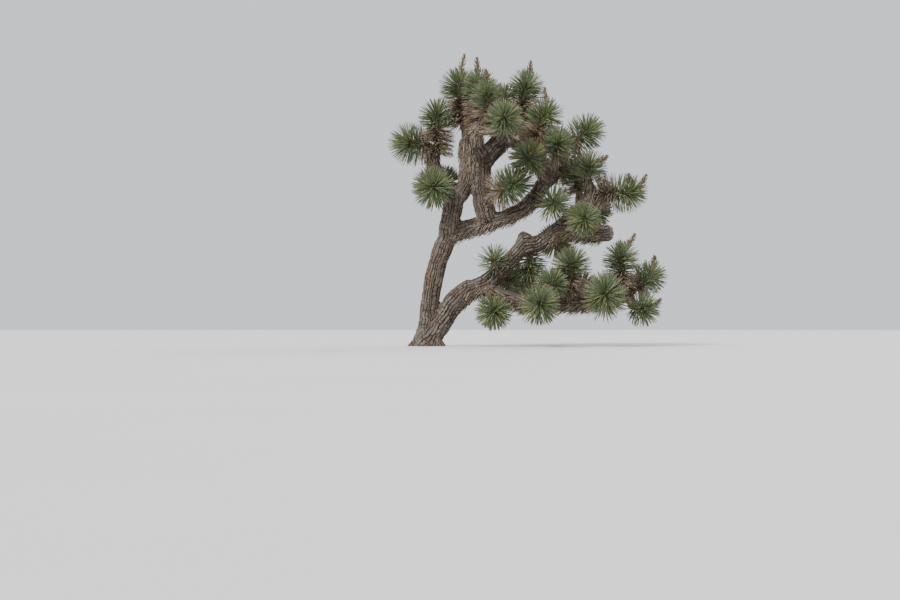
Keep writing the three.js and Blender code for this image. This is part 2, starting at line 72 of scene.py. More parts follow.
# The limbs, in growing order. Each leaves its parent a share of the way along it, sets off in one direction
# and reaches its tip in another. Metres: right, back and up, and thick is the thickness at both ends.
Limb = namedtuple("Limb", "name parent at tip off heading thick")
LIMBS = [
    Limb("trunk", None, 0, (0.306, 0.01, 1.63), (0, 0, 1), (0.46, 0.02, 0.89), (0.238, 0.276)),
    Limb("left_bough", "trunk", 1, (0.375, 0.02, 2.15), (0.05, 0, 1), (0.05, 0, 1), (0.29, 0.285)),
    Limb("left_outer_bough", "left_bough", 1, (0.075, 0.09, 2.74), (-0.75, 0.05, 0.8), (-0.02, 0.05, 1),
         (0.23, 0.205)),
    Limb("left_inner_bough", "left_bough", 1, (0.595, 0.09, 3.01), (1, 0.05, 0.5), (0, 0.03, 1),
         (0.215, 0.27)),
    Limb("right_bough", "trunk", 1, (1.21, 0.05, 1.93), (0.87, 0.05, 0.44), (0.95, 0.05, 0.35),
         (0.25, 0.196)),
    Limb("right_bough_rise", "right_bough", 1, (1.75, 0.15, 2.5), (0.9, 0.1, 0.3), (0.35, 0.1, 0.9),
         (0.218, 0.205)),
    Limb("right_back_bough", "right_bough_rise", 0.8, (1.9, 0.62, 2.64), (0.1, 1, 0.35), (0, 0.5, 0.85),
         (0.165, 0.15)),
    Limb("middle_bough", "right_bough", 0.65, (0.826, 0, 2.76), (-0.32, 0, 1), (0.35, 0, 1), (0.285, 0.28)),
    Limb("middle_right_bough", "middle_bough", 1, (1.26, 0.18, 3.33), (0.7, 0.1, 0.75), (0.35, 0.15, 0.9),
         (0.32, 0.2)),
    Limb("middle_back_bough", "middle_bough", 0.95, (1.15, 0.6, 3.21), (0.1, 1, 0.5), (0.2, 0.5, 0.85),
         (0.185, 0.165)),
    Limb("middle_front_bough", "middle_bough", 0.95, (0.7, -0.6, 3.09), (0, -1, 0.4), (0.05, -0.55, 0.85),
         (0.185, 0.165)),
    Limb("low_stem", "trunk", 0.06, (0.63, -0.03, 0.835), (0.7, -0.02, 0.7), (0.85, -0.02, 0.4),
         (0.31, 0.305)),
    Limb("low_bough", "low_stem", 1, (1.39, -0.06, 1.44), (1, -0.03, 0.2), (0.75, 0, 0.66), (0.262, 0.222)),
    Limb("arching_bough", "low_bough", 1, (2.03, -0.02, 1.81), (1, 0, 0.14), (0.7, 0, 0.66),
         (0.226, 0.232)),
    Limb("crest_bough", "arching_bough", 1, (2.41, 0, 2.26), (0.7, 0, 0.6), (0.3, 0, 0.9), (0.225, 0.185)),
    Limb("broken_stub", "arching_bough", 0.85, (2.655, -0.11, 1.655), (0.9, -0.3, -0.25), (1, 0, 0.05),
         (0.24, 0.235)),
    Limb("crest_back_bough", "arching_bough", 0.8, (2.32, 0.56, 1.95), (0.3, 1, 0.2), (0.4, 0.6, 0.5),
         (0.185, 0.165)),
    Limb("ground_bough", "low_bough", 0.2, (1.5, -0.17, 0.62), (0.6, -0.25, -0.7), (1, -0.05, -0.02),
         (0.23, 0.22)),
    Limb("ground_bough_middle", "ground_bough", 1, (2.4, -0.12, 0.64), (1, 0, 0.02), (1, 0.1, 0.12),
         (0.21, 0.19)),
    Limb("ground_bough_end", "ground_bough_middle", 1, (2.94, -0.01, 0.77), (1, 0.2, 0.1), (0.95, 0.1, 0.3),
         (0.19, 0.18)),
    Limb("ground_back_bough", "ground_bough", 0.9, (1.85, 0.56, 0.68), (0.2, 1, 0.05), (0.5, 0.8, 0.2),
         (0.175, 0.16)),
    Limb("ground_front_bough", "ground_bough", 0.75, (1.44, -0.68, 0.64), (0, -1, -0.05), (0.2, -0.9, 0.15),
         (0.165, 0.155)),
]

# The healed stump that stands on the low bough: where its foot and tip are, its thickness, and what smoothing
# takes off it.
STUMP_LIMB = "low_bough"
STUMP_AT = 0.92
STUMP_TIP = (1.43, -0.075, 1.605)
STUMP_THICKNESS = 0.185
STUMP_SWELL = 0.014

# The heads of leaves: where each one's stem leaves its limb, the middle of its rosette, the way it looks, how
# far its leaves reach from the stem, how much of the stem below the rosette is leafy, and its spires' tips.
Head = namedtuple("Head", "name parent at middle aim reach leafy spires")
HEADS = [
    Head("left_low_head", "left_outer_bough", 1, (-0.265, 0.15, 3.005), (-1, 0.05, 0.12), 0.365, 0.26, ()),
    Head("left_top_head", "left_outer_bough", 1, (0.13, 0.1, 3.4), (0.02, 0, 1), 0.305, 0.52, ()),
    Head("left_front_head", "left_outer_bough", 0.3, (0.09, -0.4, 2.295), (-0.2, -1, 0.05), 0.355, 0.18, ()),
    Head("left_back_head", "left_outer_bough", 0.35, (0.23, 0.56, 2.48), (0.1, 0.8, 0.5), 0.3, 0.18, ()),
    Head("top_left_head", "left_inner_bough", 1, (0.45, 0.26, 3.87), (-0.15, 0.1, 1), 0.325, 0.53,
         ((0.54, 0.3, 4.385),)),
    Head("top_left_front_head", "left_inner_bough", 1, (0.745, -0.18, 3.79), (-0.02, -0.05, 1), 0.3, 0.6,
         ((0.715, -0.2, 4.22),)),
    Head("top_front_head", "middle_front_bough", 1, (0.86, -0.72, 3.56), (0, -0.1, 1), 0.29, 0.26,
         ((0.83, -0.74, 3.93),)),
    Head("middle_front_head", "middle_front_bough", 1, (1.08, -1.08, 3.18), (0.2, -0.8, 0.5), 0.32, 0.18,
         ()),
    Head("middle_back_head", "middle_back_bough", 1, (1.22, 1.08, 3.52), (0, 0.6, 0.8), 0.32, 0.22, ()),
    Head("middle_head", "middle_right_bough", 0.75, (1.13, 0.4, 3.7), (-0.1, 0.2, 1), 0.29, 0.26, ()),
    Head("top_right_head", "middle_right_bough", 1, (1.455, 0.24, 3.85), (0.2, 0, 1), 0.325, 0.5,
         ((1.535, 0.26, 4.27),)),
    Head("top_far_head", "middle_right_bough", 0.5, (1.7, -0.18, 3.35), (0.45, 0, 0.9), 0.325, 0.38,
         ((1.71, -0.15, 3.79),)),
    Head("right_near_head", "right_bough_rise", 0.9, (1.45, -0.56, 2.7), (-0.5, -0.8, 0.4), 0.325, 0.2, ()),
    Head("right_middle_head", "right_bough_rise", 1, (1.875, -0.38, 2.92), (0.1, -0.5, 0.8), 0.315, 0.18,
         ()),
    Head("right_back_head", "right_back_bough", 1, (1.62, 0.85, 3.2), (-0.3, 0.2, 0.9), 0.315, 0.24, ()),
    Head("right_far_back_head", "right_back_bough", 1, (2.08, 1.09, 2.78), (0.3, 0.9, 0.3), 0.315, 0.19, ()),
    Head("right_top_head", "right_bough_rise", 1, (2.36, 0.25, 3.19), (0.8, 0, 0.6), 0.33, 0.32, ()),
    Head("crotch_head", "middle_bough", 0.2, (1.24, -0.4, 2.33), (0.8, -0.5, 0.35), 0.34, 0.3, ()),
    Head("nook_head", "right_bough_rise", 0.4, (1.83, -0.34, 2.065), (0.45, -0.9, -0.1), 0.32, 0.13, ()),
    Head("crest_head", "crest_bough", 1, (2.365, -0.05, 2.62), (0.1, -0.05, 1), 0.305, 0.16,
         ((2.64, -0.05, 2.8),)),
    Head("crest_back_head", "crest_back_bough", 1, (2.27, 0.76, 2.62), (-0.1, 0.1, 1), 0.315, 0.26, ()),
    Head("under_arm_head", "crest_back_bough", 1, (2.57, 0.8, 2.04), (0.8, 0.5, 0.2), 0.29, 0.12, ()),
    Head("crest_front_head", "crest_bough", 0.15, (2.24, -0.52, 1.82), (0.2, -1, -0.05), 0.31, 0.17, ()),
    Head("arm_head", "crest_bough", 0.9, (2.94, 0, 2.25), (1, 0, 0), 0.322, 0.46,
         ((3.22, 0, 2.53), (2.96, 0, 2.54))),
    Head("low_shoot_head", "low_bough", 0.35, (0.965, -0.17, 1.245), (-0.25, -0.3, 0.9), 0.3, 0.09, ()),
    Head("hanging_head", "arching_bough", 0.15, (1.5, 0.11, 1.13), (0, 0.2, -1), 0.3, 0.23, ()),
    Head("arch_back_head", "arching_bough", 0.45, (1.93, 0.64, 1.58), (0.1, 1, 0.1), 0.31, 0.17, ()),
    Head("foot_head", "ground_bough", 0.35, (0.95, -0.42, 0.5), (-0.1, -0.8, -0.35), 0.305, 0.13, ()),
    Head("ground_up_head", "ground_bough_middle", 0.6, (2.08, -0.26, 1.18), (0, -0.1, 1), 0.325, 0.34, ()),
    Head("low_back_head", "low_bough", 0.35, (1.19, 0.37, 1), (0.2, 1, 0.2), 0.31, 0.15, ()),
    Head("ground_middle_head", "ground_bough_middle", 0.1, (1.78, -0.47, 0.88), (0.1, -0.8, 0.5), 0.3, 0.13,
         ()),
    Head("ground_front_head", "ground_front_bough", 1, (1.57, -1.1, 0.6), (0.4, -0.9, 0.1), 0.33, 0.16, ()),
    Head("ground_right_front_head", "ground_bough_middle", 1, (2.53, -0.64, 0.745), (0.05, -0.9, 0.4), 0.375,
         0.2, ()),
    Head("ground_back_head", "ground_back_bough", 1, (1.48, 0.88, 0.8), (-0.5, 0.7, 0.2), 0.32, 0.16, ()),
    Head("ground_far_back_head", "ground_back_bough", 1, (2.36, 1.06, 0.87), (0.4, 0.8, 0.35), 0.325, 0.24,
         ()),
    Head("end_up_head", "ground_bough_end", 0.7, (2.83, -0.09, 1.28), (0, -0.05, 1), 0.305, 0.4,
         ((3.03, -0.1, 1.65),)),
    Head("end_right_head", "ground_bough_end", 1, (3.29, 0.2, 1.02), (0.75, 0.3, 0.55), 0.29, 0.27,
         ((3.37, 0.22, 1.34),)),
    Head("end_low_head", "ground_bough_end", 1, (3.1, -0.33, 0.54), (0.6, -0.7, -0.2), 0.29, 0.13,
         ((3.37, -0.32, 0.69),)),
]

# The tree's parts, each with the limb that it starts from, and the pieces of bark, each with its part.
SECTIONS = {
    "left": "left_bough",
    "middle": "middle_bough",
    "right": "right_bough",
    "arch": "arching_bough",
    "ground": "ground_bough",
    "foot": "trunk",
}
BARK_PIECES = {
    "lower_bark": "foot",
    "left_bark": "left",
    "middle_bark": "middle",
    "right_bark": "right",
    "arching_bark": "arch",
    "ground_bark": "ground",
}

# How limbs grow.
HANDLE_SHARE = 1 / 3              # how stiffly a limb keeps to its first and last direction
LINE_POINTS = 160
RING_STEP = 0.045
LIMB_CORNERS = 32
FLARE = 0.19                      # how far the trunk spreads at the ground
FLARE_HEIGHT = 0.16               # how slowly that fades with height
BUTTRESSES = 5
BUTTRESS_SHARE = 0.34             # how much less the trunk spreads between its buttresses
LUMP_SHARE = 0.035                # how uneven a limb's thickness is
LUMP_LENGTH = 0.43                # the length from one thicker place to the next
DOME = ((0.34, 0.88), (0.58, 0.55))    # a limb's round end: how far past it and how wide, in its radii
UNDERGROUND = 0.1                 # how far the trunk is grown below the ground before it is cut flat

# How heads grow.
CORE_SHARE = 0.5                  # how far out the middle of a head goes, as a share of its leaves' reach
CORE_FULLNESS = 2.5               # 2 makes the middle a ball, and more makes it a barrel
GOLDEN_ANGLE = math.radians(137.508)
SHORTEST_LEAF = 0.84              # the shortest leaf's reach as a share of the longest one's
BARE_TILT = math.radians(130)     # no leaf of a rosette sets off further back than this, before it leans
LOWEST_LEAF = 0.04                # how far over the ground the leaf tips stay
STEM_CORNERS = 10
LIMB_STRETCHES = 6                # the straight pieces of a limb that leaves are kept off
STEM_STRETCHES = 3


def unit(ways):
    ways = np.asarray(ways, float)
    return ways / np.linalg.norm(ways, axis=-1, keepdims=True)


def mixed(low, high, share):
    return low + (high - low) * share


def dots(ones, others):
    """The dot product of each row with the other's."""
    return np.einsum("ij,ij->i", ones, others)


def gathered(groups):
    """Several groups of samples, or of leaves, as one."""
    return type(groups[0])(*(np.concatenate(column) for column in zip(*groups)))


def chosen(group, which):
    """Some of a group's samples or leaves, by their numbers or by a yes or no for each."""
    return type(group)(*(column[which] for column in group))


class Line:
    """A smooth line that leaves one place in one direction and reaches another in another, by its length."""

    def __init__(self, start, end, off, heading):
        start, end = Vector(start), Vector(end)
        handle = (end - start).length * HANDLE_SHARE
        points = interpolate_bezier(start, start + Vector(off).normalized() * handle,
                                    end - Vector(heading).normalized() * handle, end, LINE_POINTS)
        self.points = np.array([point[:] for point in points])
        gaps = np.linalg.norm(np.diff(self.points, axis=0), axis=1)
        self.reached = np.concatenate(([0.0], np.cumsum(gaps)))
        self.length = self.reached[-1]
        self.ways = unit(np.gradient(self.points, self.reached, axis=0))
        side = np.array(Vector(self.ways[0]).orthogonal().normalized())
        self.sides = np.empty_like(self.ways)
        for number, way in enumerate(self.ways):
            side = unit(side - way * (side @ way))
            self.sides[number] = side

    def spread(self, shares):
        """The places, ways and sides at some shares of the line's length."""
        at = np.asarray(shares, float) * self.length
        found = [np.stack([np.interp(at, self.reached, kind[:, k]) for k in range(3)], axis=-1)
                 for kind in (self.points, self.ways, self.sides)]
        return found[0], unit(found[1]), unit(found[2])

    def place(self, share):
        return self.spread([share])[0][0]


def grown_lines():
    """The line of every limb, and of every head's stem up to where its rosette begins, by name."""
    lines = {}
    for limb in LIMBS:
        root = lines[limb.parent].place(limb.at) if limb.parent else (0, 0, 0)
        lines[limb.name] = Line(root, limb.tip, limb.off, limb.heading)
    for head in HEADS:
        root = lines[head.parent].place(head.at)
        foot = np.array(head.middle) - unit(head.aim) * head.leafy
        lines[head.name] = Line(root, foot, foot - root, head.aim)
    return lines


LINES = grown_lines()


def limb_radius(limb, shares):
    first, last = limb.thick[0] / 2, limb.thick[1] / 2
    lump = np.sin(shares * LINES[limb.name].length * math.tau / LUMP_LENGTH + first / MM)
    return mixed(first, last, shares) * (1 + LUMP_SHARE * lump)


def section_of(limb_name):
    """The part of the tree that a limb belongs to."""
    starts = {limb: section for section, limb in SECTIONS.items()}
    parents = {limb.name: limb.parent for limb in LIMBS}
    while limb_name not in starts:
        limb_name = parents[limb_name]
    return starts[limb_name]


def ring_matrix(place, way, side, radius):
    across = np.cross(way, side)
    turn = Matrix((side, across, way)).transposed().to_4x4()
    return Matrix.Translation(place) @ turn @ Matrix.Scale(radius, 4)


def grow_tube(bm, places, ways, sides, radii, corners):
    """Adds a closed round tube through a row of places, and gives back its points."""
    ring = bmesh.ops.create_circle(bm, segments=corners, radius=1)["verts"]
    edges = list(dict.fromkeys(edge for point in ring for edge in point.link_edges))
    tube, ends, before = [], list(edges), Matrix.Identity(4)
    for number, ring_place in enumerate(zip(places, ways, sides, radii)):
        if number:
            grown = bmesh.ops.extrude_edge_only(bm, edges=edges)["geom"]
            ring = [item for item in grown if isinstance(item, bmesh.types.BMVert)]
            fresh = set(ring)
            edges = [item for item in grown
                     if isinstance(item, bmesh.types.BMEdge) and fresh.issuperset(item.verts)]
        now = ring_matrix(*ring_place)
        bmesh.ops.transform(bm, matrix=now @ before.inverted(), verts=ring)
        before = now
        tube += ring
    bmesh.ops.holes_fill(bm, edges=ends + edges, sides=0)
    return tube


def new_object(name, mesh, *finishes):
    piece = bpy.data.objects.new(name, mesh)
    bpy.context.scene.collection.objects.link(piece)
    for finish in finishes:
        mesh.materials.append(finish)
    return piece


def keep(piece, nodes=()):
    """A finished piece rides on the tree and stands for the nodes."""
    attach(piece, BODY)
    if nodes:
        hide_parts(*nodes)


def object_of(bm, name, *finishes):
    bmesh.ops.recalc_face_normals(bm, faces=bm.faces)
    mesh = bpy.data.meshes.new(name)
    bm.to_mesh(mesh)
    bm.free()
    return new_object(name, mesh, *finishes)


# Finishes.
MIX_SHARE, MIX_ONE, MIX_OTHER, MIX_RESULT = 0, 6, 7, 2    # the sockets of a Mix node for colours

# Sizes of the patterns, and the values between which each one goes from nothing to full.
FIBRE_SCALE = 150
FIBRE_STRETCH = (1, 1, 0.14)      # the fibres run along the limb
FIBRE_STREAKS = (0.38, 0.62)
WEATHER_SCALE = 2.2
WEATHER_PATCHES = (0.35, 0.65)
WEATHER_FADE = 0.4                # how far the plates' tones are evened out by the weather
STREAK_FADE = 0.55                # how far the lines between the fibres darken the plates
RUDDY_TONES = (0.1, 0.35)
PALE_TONES = (0.3, 0.95)
# where the painted shade in the cracks goes from nothing to full
CRACK_SHADE_EDGE = (0.12, 0.7)
WOOD_SHADE = 0.4
MOTTLE_SCALE = 18
MOTTLE_PATCHES = (0.35, 0.65)
MOTTLE_SHADES = (0.86, 1.12)
LEAF_GRAIN_SCALE = 260


class Nodes:
    """A material's nodes, added and joined one at a time."""

    def __init__(self, name, roughness, specular):
        self.material = bpy.data.materials.new(name)
        self.material.use_nodes = True
        self.tree = self.material.node_tree
        self.shader = self.tree.nodes["Principled BSDF"]
        self.shader.inputs["Roughness"].default_value = roughness
        self.shader.inputs["Specular IOR Level"].default_value = specular

    def add(self, kind, **values):
        node = self.tree.nodes.new(kind)
        for key, value in values.items():
            setattr(node, key, value)
        return node

    def join(self, output, target):
        self.tree.links.new(output, target)

    def set(self, node, key, value):
        if isinstance(value, bpy.types.NodeSocket):
            self.join(value, node.inputs[key])
        else:
            node.inputs[key].default_value = value

    def noise(self, scale, detail=4.0, rough=0.6, where=None):
        node = self.add("ShaderNodeTexNoise")
        self.set(node, "Vector", where or self.add("ShaderNodeTexCoord").outputs["Object"])
        self.set(node, "Scale", scale)
        self.set(node, "Detail", detail)
        self.set(node, "Roughness", rough)
        return node.outputs["Fac"]

    def attribute(self, name, output="Fac"):
        return self.add("ShaderNodeAttribute", attribute_name=name).outputs[output]

    def stretched(self, where, scale):
        node = self.add("ShaderNodeMapping")
        self.set(node, "Vector", where)
        self.set(node, "Scale", scale)
        return node.outputs["Vector"]

    def ramp(self, value, low, high):
        """The value stretched so that low gives 0 and high gives 1."""
        node = self.add("ShaderNodeMapRange", clamp=True)
        self.set(node, "Value", value)
        self.set(node, "From Min", low)
        self.set(node, "From Max", high)
        return node.outputs["Result"]

    def mix(self, share, one, other):
        node = self.add("ShaderNodeMix", data_type="RGBA")
        self.set(node, MIX_SHARE, share)
        self.set(node, MIX_ONE, one if isinstance(one, bpy.types.NodeSocket) else (*one, 1))
        self.set(node, MIX_OTHER, other if isinstance(other, bpy.types.NodeSocket) else (*other, 1))
        return node.outputs[MIX_RESULT]

    def bump(self, height, strength, distance):
        node = self.add("ShaderNodeBump")
        self.set(node, "Height", height)
        self.set(node, "Strength", strength)
        self.set(node, "Distance", distance)
        self.join(node.outputs["Normal"], self.shader.inputs["Normal"])

    def colour(self, value):
        self.join(value, self.shader.inputs["Base Color"])


def shade(colour, factor):
    return tuple(channel * factor for channel in colour)


def bark_finish(settings):
    nodes = Nodes("bark", roughness=0.92, specular=0.2)
    along = nodes.stretched(nodes.attribute("bark_place", "Vector"), FIBRE_STRETCH)
    fibres = nodes.noise(FIBRE_SCALE, detail=5, rough=0.7, where=along)
    streaks = nodes.ramp(fibres, *FIBRE_STREAKS)
    weather = nodes.ramp(nodes.noise(WEATHER_SCALE), *WEATHER_PATCHES)
    tone = nodes.attribute("plate_tone")
    dark = nodes.mix(nodes.ramp(tone, *RUDDY_TONES), settings.ruddy_plate_colour, settings.plate_colour)
    plates = nodes.mix(nodes.ramp(tone, *PALE_TONES), dark, settings.pale_plate_colour)
    plates = nodes.mix(weather, nodes.mix(WEATHER_FADE, plates, settings.plate_colour), plates)
    plates = nodes.mix(streaks, nodes.mix(STREAK_FADE, plates, settings.crack_shade_colour), plates)
    wood = nodes.mix(streaks, shade(settings.wood_colour, WOOD_SHADE), settings.wood_colour)
    plates = nodes.mix(nodes.attribute("bare_wood"), plates, wood)
    # Painted shade: the cracks are darkened to the near-black crack colour, on top of the shade that their
    # depth casts.
    crack = nodes.ramp(nodes.attribute("crack"), *CRACK_SHADE_EDGE)
    nodes.colour(nodes.mix(crack, plates, settings.crack_shade_colour))
    nodes.bump(fibres, strength=0.9, distance=0.012)
    return nodes.material


def leaf_finish(name, colour, roughness, specular):
    nodes = Nodes(name, roughness, specular)
    mottle = nodes.ramp(nodes.noise(MOTTLE_SCALE), *MOTTLE_PATCHES)
    dark, light = (shade(colour, factor) for factor in MOTTLE_SHADES)
    nodes.colour(nodes.mix(mottle, dark, light))
    nodes.bump(nodes.noise(LEAF_GRAIN_SCALE, detail=2), strength=0.25, distance=0.001)
    return nodes.material


# The bark.
class BarkSettings(bpy.types.PropertyGroup):
    plate_width: FloatProperty(name="Plate width", description="Width of a plate of bark", default=0.046,
                               min=0.01, unit="LENGTH")
    plate_length: FloatProperty(name="Plate length", description="Length of the shortest plates",
                                default=0.062, min=0.01, unit="LENGTH")
    crack_width: FloatProperty(name="Crack width", description="Half the width of a crack between plates",
                               default=0.011, min=0.002, unit="LENGTH")
    crack_depth: FloatProperty(name="Crack depth", description="Depth of the cracks between plates",
                               default=0.013, min=0, unit="LENGTH")
    skin_step: FloatProperty(name="Skin step", description="Size of the first faces of the bark",
                             default=0.0145, min=0.008, unit="LENGTH")
    rounding: IntProperty(name="Rounding", description="How often the forks are smoothed", default=9, min=0)
    plate_colour: FloatVectorProperty(name="Plate colour", description="Colour of the plates",
                                      subtype="COLOR", default=(0.135, 0.108, 0.086), min=0, max=1)
    pale_plate_colour: FloatVectorProperty(name="Pale plate colour", description="Colour of worn plates",
                                           subtype="COLOR", default=(0.27, 0.238, 0.2), min=0, max=1)
    ruddy_plate_colour: FloatVectorProperty(name="Ruddy plate colour",
                                            description="Colour of freshly broken plates",
                                            subtype="COLOR", default=(0.19, 0.128, 0.088), min=0, max=1)
    # The crack colour is painted shade: a near black that darkens the cracks beyond the shade of their depth.
    crack_shade_colour: FloatVectorProperty(name="Crack colour", description="Colour inside the cracks",
                                      subtype="COLOR", default=(0.036, 0.024, 0.017), min=0, max=1)
    wood_colour: FloatVectorProperty(name="Wood colour", description="Colour of the bare wood at a break",
                                     subtype="COLOR", default=(0.27, 0.225, 0.17), min=0, max=1)


STEM_ROOT_RINGS = 6
SWELL = 0.006                     # what smoothing takes off a limb
PLATE_JITTER = 0.24               # how far a crack strays from its even place
WHOLE_SHARE = 0.38                # how many plates run on with no crack across them
CROSS_CRACK = 0.72                # how deep the cracks across are beside the ones along the limb
SPLIT_GIRTH = 1.6                 # where a limb flares out about this far, its plates are split in two
SPLIT_VARIETY = 0.5
WARPS = ((0.13, 0.03), (0.035, 0.009))    # how the cracks wander: over which length, and how far

# What is added to a place before the noise is read for the cracks' straying round the limb, along it and in
# width.
WARP_SHIFTS = ((9.3, -1.5, -7.9), (3.6, 12.4, 5.2), (-6.1, 8.7, 15.8))

FULL_DEPTH_RADIUS = 0.12          # thinner limbs have shallower cracks
LEAST_DEPTH = 0.5                 # how deep the thinnest ones' are, as a share of the full depth
GRAIN_SIZE = 0.012
GRAIN_STRETCH = 3.5
GRAIN_DEPTH = 0.0024
GRAIN_LAYERS = (1.0, 2.0, 3)      # how fast the grain's layers fade, how much finer each is, and how many
PLATE_LIFT = 0.006                # how much further out one plate stands than another
PLATE_TILT = 0.0035               # how far the upper end of a plate stands out
STEM_ROOT = 0.3                   # how far the bark runs up a stem
STEM_TAPER = (0.0675, 0.055)      # a stem's radius where it leaves its limb, and where its bark ends
BROKEN_LIMB = "broken_stub"
SPLINTER_SIZE = 0.016
SPLINTER_DEPTH = 0.045
SPLINTER_STEPS = 0.6              # how much of the depth changes from fibre to fibre
SPLINTER_WAVES = 0.8              # how much of it changes in broad waves
BARE_EDGE = 0.016
SAMPLE_STEP = 0.03
CHUNK = 4000                      # how many points are compared with all samples at once

# How evenly spread shares are drawn from numbers, and what is added so that each use draws its own.
DRAW_FACTORS = (12.9898, 78.233, 37.719)
DRAW_SPREAD = 43758.5453
CRACKED_DRAW = 0.5
TONE_DRAW = 0.3

ROW_SHIFT = 7                     # how many plates two columns can be out of step with each other

# The cracks round and along a limb: which ones beside the nearest are looked at, and the numbers that stand
# for no gap, for no crack and for a column with no end.
MARK_STEPS = (-2, -1, 0, 1)
NO_GAP = 9.0
NO_MARK = -1e6
ENDLESS = 1e5

# Places along the lines, with the way, the side, the radius and the length so far at each, the numbers of the
# line and of its limb, and how many columns of plates go round.
Samples = namedtuple("Samples", "places ways sides radii along lines limbs columns")


def add_limb(bm, limb):
    line = LINES[limb.name]
    shares = np.linspace(0, 1, round(line.length / RING_STEP) + 1)
    places, ways, sides = line.spread(shares)
    radii = limb_radius(limb, shares) + SWELL
    for past, width in DOME:
        places = np.vstack((places, line.place(1) + line.ways[-1] * past * limb.thick[1] / 2))
        ways, sides = np.vstack((ways, ways[-1])), np.vstack((sides, sides[-1]))
        radii = np.append(radii, limb.thick[1] / 2 * width)
    if limb.parent is None:
        places = np.vstack((places[0] - ways[0] * UNDERGROUND, places))
        ways, sides = np.vstack((ways[0], ways)), np.vstack((sides[0], sides))
        radii = np.append(radii[0], radii)
    tube = grow_tube(bm, places, ways, sides, radii, LIMB_CORNERS)
    if limb.parent is None:
        flare_out(tube, line)


def flare_out(tube, line):
    """Spreads the foot of the trunk over the ground in buttresses."""
    heights = line.points[:, 2]
    for point in tube:
        height = max(point.co.z, 0)
        middle = Vector([np.interp(height, heights, line.points[:, k]) for k in (0, 1)])
        out = point.co.xy - middle
        turn = math.atan2(out.y, out.x) - math.pi
        fold = 1 - BUTTRESS_SHARE * (0.5 - 0.5 * math.cos(BUTTRESSES * turn))
        out = out.normalized() * FLARE * fold * math.exp(-height / FLARE_HEIGHT)
        point.co += Vector((out.x, out.y, 0))


def add_stump(bm):
    foot = LINES[STUMP_LIMB].place(STUMP_AT)
    way = unit(np.array(STUMP_TIP) - foot)
    side = np.array(Vector(way).orthogonal().normalized())
    radius = STUMP_THICKNESS / 2 + STUMP_SWELL
    places = [foot, np.array(STUMP_TIP)] + [np.array(STUMP_TIP) + way * past * radius for past, _ in DOME]
    radii = [radius, radius] + [radius * width for _, width in DOME]
    grow_tube(bm, places, [way] * len(places), [side] * len(places), radii, LIMB_CORNERS)


def stem_root(head):
    """Where the bark ends on a head's stem, as a share of the stem's length."""
    return min(1, STEM_ROOT / LINES[head.name].length)


def stem_radii(head):
    """A function that gives a stem's radius at shares of its length, tapering as far as the bark runs."""
    return lambda shares: mixed(*STEM_TAPER, np.minimum(shares / stem_root(head), 1))


def add_stem_root(bm, head):
    places, ways, sides = LINES[head.name].spread(np.linspace(0, stem_root(head), STEM_ROOT_RINGS))
    radii = np.linspace(*STEM_TAPER, STEM_ROOT_RINGS) + SWELL
    grow_tube(bm, places, ways, sides, radii, STEM_CORNERS * 2)


def skin_of(bm, step, rounds):
    """One smooth skin round all the limbs, in which what overlaps has become one."""
    bmesh.ops.recalc_face_normals(bm, faces=bm.faces)
    mesh = bpy.data.meshes.new("limbs")
    bm.to_mesh(mesh)
    bm.free()
    draft = new_object("limbs", mesh)
    draft.modifiers.new("Skin", "REMESH")
    draft.modifiers["Skin"].mode = "VOXEL"
    draft.modifiers["Skin"].voxel_size = step
    draft.modifiers.new("Rounding", "SMOOTH")
    draft.modifiers["Rounding"].iterations = rounds
    draft.modifiers.new("Finer", "SUBSURF")
    draft.modifiers["Finer"].levels = draft.modifiers["Finer"].render_levels = 1
    skin = bpy.data.meshes.new_from_object(draft.evaluated_get(bpy.context.evaluated_depsgraph_get()))
    bpy.data.objects.remove(draft)
    bpy.data.meshes.remove(mesh)
    return skin


def line_samples(number, line, last, radii, limb_number, settings):
    """The samples of a line as far as a last share of its length."""
    shares = np.linspace(0, last, round(line.length * last / SAMPLE_STEP) + 1)
    rings = radii(shares)
    columns = round(math.tau * rings.mean() / settings.plate_width)
    even = [np.full(len(shares), value) for value in (number, limb_number, columns)]
    return Samples(*line.spread(shares), rings, shares * line.length, *even)


def limb_samples(settings):
    """The samples of all limbs, and of the stems as far as the bark runs."""
    numbers = {limb.name: number for number, limb in enumerate(LIMBS)}
    groups = [line_samples(number, LINES[limb.name], 1, lambda shares, limb=limb: limb_radius(limb, shares),
                           number, settings) for number, limb in enumerate(LIMBS)]
    groups += [line_samples(len(LIMBS) + number, LINES[head.name], stem_root(head), stem_radii(head),
                            numbers[head.parent], settings) for number, head in enumerate(HEADS)]
    return gathered(groups)


def nearest_samples(points, samples):
    """For each point, the number of the sample whose bark it is nearest to."""
    places, radii = samples.places.astype(np.float32), samples.radii.astype(np.float32)
    own = (places * places).sum(1)
    found = np.empty(len(points), int)
    for start in range(0, len(points), CHUNK):
        some = points[start:start + CHUNK].astype(np.float32)
        squares = (some * some).sum(1)[:, None] + own - 2 * some @ places.T
        found[start:start + CHUNK] = (np.sqrt(np.maximum(squares, 0)) - radii).argmin(axis=1)
    return found


def smooth(share):
    share = np.clip(share, 0, 1)
    return share * share * (3 - 2 * share)


def chance(*numbers):
    """A share from 0 to 1 for each set of numbers, evenly spread and always the same."""
    total = sum(number * factor for number, factor in zip(numbers, DRAW_FACTORS))
    return np.mod(np.sin(total) * DRAW_SPREAD, 1)


def nearest_mark(place, wrap, whole_share, *row):
    """How far each place is from a row's nearest uneven mark, and which mark it is past."""
    gap, past = np.full(len(place), NO_GAP), np.full(len(place), NO_MARK)
    for step in MARK_STEPS:
        mark = np.round(place) + step
        key = np.mod(mark, wrap)
        at = mark + PLATE_JITTER * (2 * chance(key, *row) - 1)
        cracked = chance(key + CRACKED_DRAW, *row) >= whole_share
        gap = np.where(cracked, np.minimum(gap, np.abs(place - at)), gap)
        past = np.where(cracked & (place >= at), np.maximum(past, mark), past)
    return gap, past


